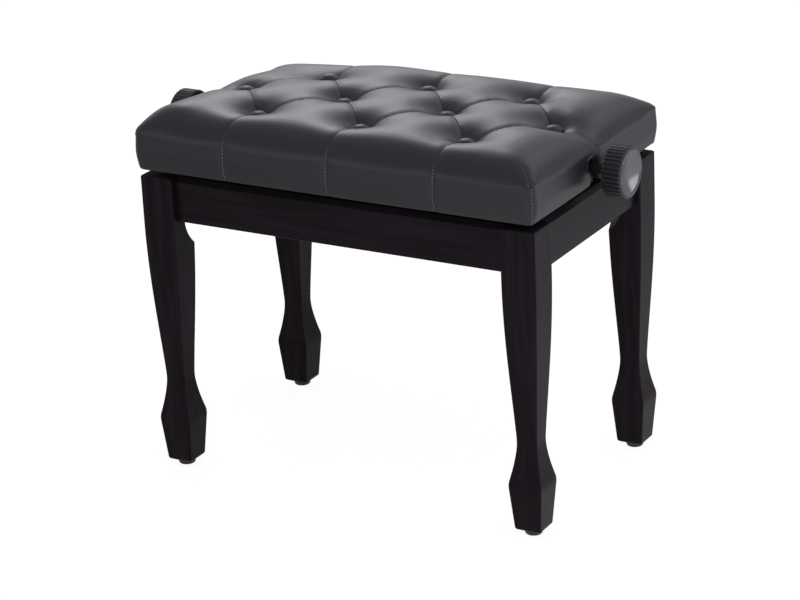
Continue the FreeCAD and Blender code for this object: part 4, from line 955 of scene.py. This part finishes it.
steps_x, steps_y = coarse_steps(line_x), coarse_steps(line_y)
coarse = top[np.ix_(steps_y, steps_x)]
from_button = np.hypot(coarse[..., :1] - BUTTONS[:, 0], coarse[..., 1:2] - BUTTONS[:, 1]).min(-1)
held = (seam_distance(coarse[..., 0], coarse[..., 1]) < ON_SEAM) | (from_button < ON_BUTTON)
held[[0, -1]] = held[:, [0, -1]] = True
moved = blown_up(coarse, held)
reach = np.linalg.norm(moved, axis=-1, keepdims=True)
moved *= np.minimum(1, SWELL_CAP / np.maximum(reach, 1e-6))
print("cloth moved, mm: mean", round(reach.mean(), 2), "most", round(reach.max(), 2))
top = top + spread(spread(moved, steps_x, len(line_x), 1), steps_y, len(line_y), 0)
top = top - surface_normals(top) * seam_depth(plan_x, plan_y)[..., None]
print("sewn seat top from", round(top[..., 2].min(), 1), "to", round(top[..., 2].max(), 1))


# %% [markdown]
# The sides go down from the edge of the top as rings. They swell a little, are drawn in along the seams,
# turn under at the hem, and run back up the wooden frame, so the cover is one closed skin. At the ends
# the hem arches over the rod, and the leather is drawn in round it.

# %% Seat sides
def edge_loop(grid):
    """The points round the edge of a grid, once round."""
    return np.concatenate([grid[0, :-1], grid[:-1, -1], grid[-1, :0:-1], grid[:0:-1, 0]])


ARCH_HALF, ARCH_RISE = 11.0, 29.2
SWELL, SWELL_POWER, TUCK_END, TUCK_SIDE = 1.4, 0.95, 1.4, 0.9
FUNNEL_DEEP, FUNNEL_WIDE, FUNNEL_HIGH, FUNNEL_ABOVE = 11.0, 25.0, 19.0, 10.0
LINING, COVER_THICK, FRAME_GAP = 20.0, 1.5, 0.3
FRAME, BOARD_TOP = board_high[:2] + FRAME_GAP, board_high[2]
edge = edge_loop(top)
base = edge_loop(np.stack([plan_x, plan_y, 0 * plan_x], -1))[:, :2]
ahead = np.roll(base, -1, 0) - np.roll(base, 1, 0)
outward = np.column_stack([ahead[:, 1], -ahead[:, 0]])
outward /= np.linalg.norm(outward, axis=1, keepdims=True)
at_end = np.abs(base[:, 0]) > SEAT_END - 1
arch = np.where(at_end, np.exp(-np.abs(base[:, 1] / ARCH_HALF) ** 4), 0)
hem_z = HEM + ARCH_RISE * arch
seam_side = seam_depth(base[:, 0], base[:, 1])
FALL = np.array([0.08, 0.18, 0.28, 0.38, 0.48, 0.58, 0.68, 0.77, 0.85, 0.91, 0.95, 0.98, 1.0])
TUCK = np.array([0, 0, 0, 0, 0, 0.15, 0.4, 0.75, 1.2, 1.7, 2.3, 3.2, 4.8])


def side_ring(fall, tuck):
    """One ring of the side: a squared sine of swell, less the hem's tuck, the seams and a bell at the rod."""
    z = edge[:, 2] + (hem_z - edge[:, 2]) * fall
    swell = SWELL * math.sin(math.pi * fall ** SWELL_POWER) ** 2
    tucked = tuck * np.where(at_end, TUCK_END, TUCK_SIDE)
    from_rod = (base[:, 1] / FUNNEL_WIDE) ** 2 + ((z - ROD_HEIGHT - FUNNEL_ABOVE) / FUNNEL_HIGH) ** 2
    funnel = np.where(at_end, FUNNEL_DEEP * np.exp(-from_rod), 0)
    out = swell - tucked - seam_side - funnel * min(1, fall * 3)
    return np.column_stack([base + outward * out[:, None], z])


def frame_ring(z, under=0.0):
    """A ring round the wooden frame, or drawn in under its rails, but not where the rod passes."""
    reach = FRAME - under * np.clip(1 - arch * 40, 0, 1)[:, None]
    return np.column_stack([np.clip(base, -reach, reach), z])


rings = [edge] + [side_ring(f, t) for f, t in zip(FALL, TUCK)]
rings += [frame_ring(hem_z), frame_ring(hem_z, LINING), frame_ring(hem_z + COVER_THICK, LINING),
          frame_ring(hem_z + COVER_THICK), frame_ring(0 * hem_z + BOARD_TOP - 1),
          frame_ring(0 * hem_z + BOARD_TOP + 0.2)]
middle = np.column_stack([0 * hem_z, 0 * hem_z, 0 * hem_z + BOARD_TOP + 0.2])
sides = np.stack(rings + [middle])
pad = add_piece("tufted_seat", [(top, False), (sides, True)], "seat", leather,
                ["seat_cushion", "side_padding_front", "side_padding_back", "side_padding_left",
                 "side_padding_right"], 60)


# %% [markdown]
# The buttons are small domes covered in the same leather, pulled down until their rims press into the pad.

# %% Covered buttons
BUTTON_FOOT, BUTTON_RIM, BUTTON_RISE, BUTTON_RADIUS = 460.5, 465.2, 5.4, 12.7
BUTTON = [(0, BUTTON_FOOT), (11.0, BUTTON_FOOT), (12.2, BUTTON_FOOT + 1.1),
          (BUTTON_RADIUS, BUTTON_FOOT + 3.5)]
BUTTON += [(BUTTON_RADIUS * s, BUTTON_RIM + BUTTON_RISE * (1 - s ** 2.5)) for s in np.linspace(1, 0, 9)]
domes = [(turned_grid(BUTTON, 36) + [x, y, 0], True) for x, y in BUTTONS]
add_piece("covered_buttons", domes, "seat", leather, ["tuft_buttons"], 60)


# %% [markdown]
# Thread shows along each seam as short stitches. They follow the finished surface: a straight run in plan
# between two buttons, or a column of the grid over the edge and down the side.

# %% Runs of stitches
BUTTON_GAP = 12
SEWN_RINGS = len(FALL)


def height_at(x, y):
    """Height of the top between the grid's lines: a mean of the four points round it, by how near each is."""
    i = np.clip(np.searchsorted(line_x, x) - 1, 0, len(line_x) - 2)
    j = np.clip(np.searchsorted(line_y, y) - 1, 0, len(line_y) - 2)
    u = (x - line_x[i]) / (line_x[i + 1] - line_x[i])
    v = (y - line_y[j]) / (line_y[j + 1] - line_y[j])
    z = top[..., 2]
    return ((1 - u) * (1 - v) * z[j, i] + u * (1 - v) * z[j, i + 1]
            + (1 - u) * v * z[j + 1, i] + u * v * z[j + 1, i + 1])


def zigzag_runs():
    """The runs between neighbouring buttons: lines of points on the top that stop short of the buttons."""
    runs = []
    way = np.linspace(0.12, 0.88, 60)
    for x, y in BUTTONS[BUTTONS[:, 1] == 0]:
        for step, row in ((-1, -1), (1, -1), (-1, 1), (1, 1)):
            if abs(x + step * PITCH / 2) <= PITCH + 1:
                px, py = x + step * PITCH / 2 * way, y + row * ROW * way
                runs.append(np.column_stack([px, py, height_at(px, py)]))
    return runs


def edge_runs():
    """The straight seams from the outer buttons over the edge to the hem, and one down each corner."""
    columns, rows = len(line_x) - 1, len(line_y) - 1
    front = np.nonzero(line_y < -ROW - BUTTON_GAP)[0][::-1]
    behind = np.nonzero(line_y > ROW + BUTTON_GAP)[0]
    runs = []
    for x in (-PITCH, 0, PITCH):
        i = np.abs(line_x - x).argmin()
        runs.append(np.concatenate([top[front, i], sides[1:SEWN_RINGS, i]]))
        runs.append(np.concatenate([top[behind, i], sides[1:SEWN_RINGS, columns + rows + columns - i]]))
    return runs + [sides[:SEWN_RINGS, i] for i in (0, columns, columns + rows, 2 * columns + rows)]


runs = zigzag_runs() + edge_runs()
print(len(runs), "runs of stitches")


# %% Stitches
STITCH_GAP, STITCH_LONG, STITCH_THICK = 4.2, 3.0, 0.48


def stitch_places(run):
    """Evenly spaced points along a run, with the direction of the run at each."""
    steps = np.linalg.norm(np.diff(run, axis=0), axis=1)
    length = np.concatenate([[0], np.cumsum(steps)])
    place = np.arange(STITCH_GAP / 2, length[-1] - STITCH_GAP / 2, STITCH_GAP)
    before, middle, after = (np.column_stack([np.interp(place + shift, length, line) for line in run.T])
                             for shift in (-0.5, 0, 0.5))
    return middle, (after - before) / np.linalg.norm(after - before, axis=1, keepdims=True)


def stitch_grids():
    """Short capsules laid along the runs: rings of six points whose radius closes at both ends."""
    middle, along = (np.concatenate(found) for found in zip(*(stitch_places(run) for run in runs)))
    side = np.cross(along, [0.31, 0.17, 0.93])
    side /= np.linalg.norm(side, axis=1, keepdims=True)
    up = np.cross(side, along)
    shift = np.array([-0.5, -0.4, 0.0, 0.4, 0.5]) * STITCH_LONG
    wide = np.array([0, 0.8, 1.0, 0.8, 0]) * STITCH_THICK
    a = np.arange(6) * math.pi / 3
    ring = np.cos(a)[:, None, None] * side + np.sin(a)[:, None, None] * up
    grids = middle + along * shift[:, None, None, None] + ring[None] * wide[:, None, None, None]
    return np.moveaxis(grids, 2, 0)


capsules = stitch_grids()
add_piece("seam_stitches", [(grid, True) for grid in capsules], "seat", thread, (), 80)
print(len(capsules), "stitches")


# %% [markdown]
# Last, the view transform is set to Standard. The soft cover may stand a little proud of the CAD box.

# %% View transform
scene.view_settings.view_transform = "Standard"
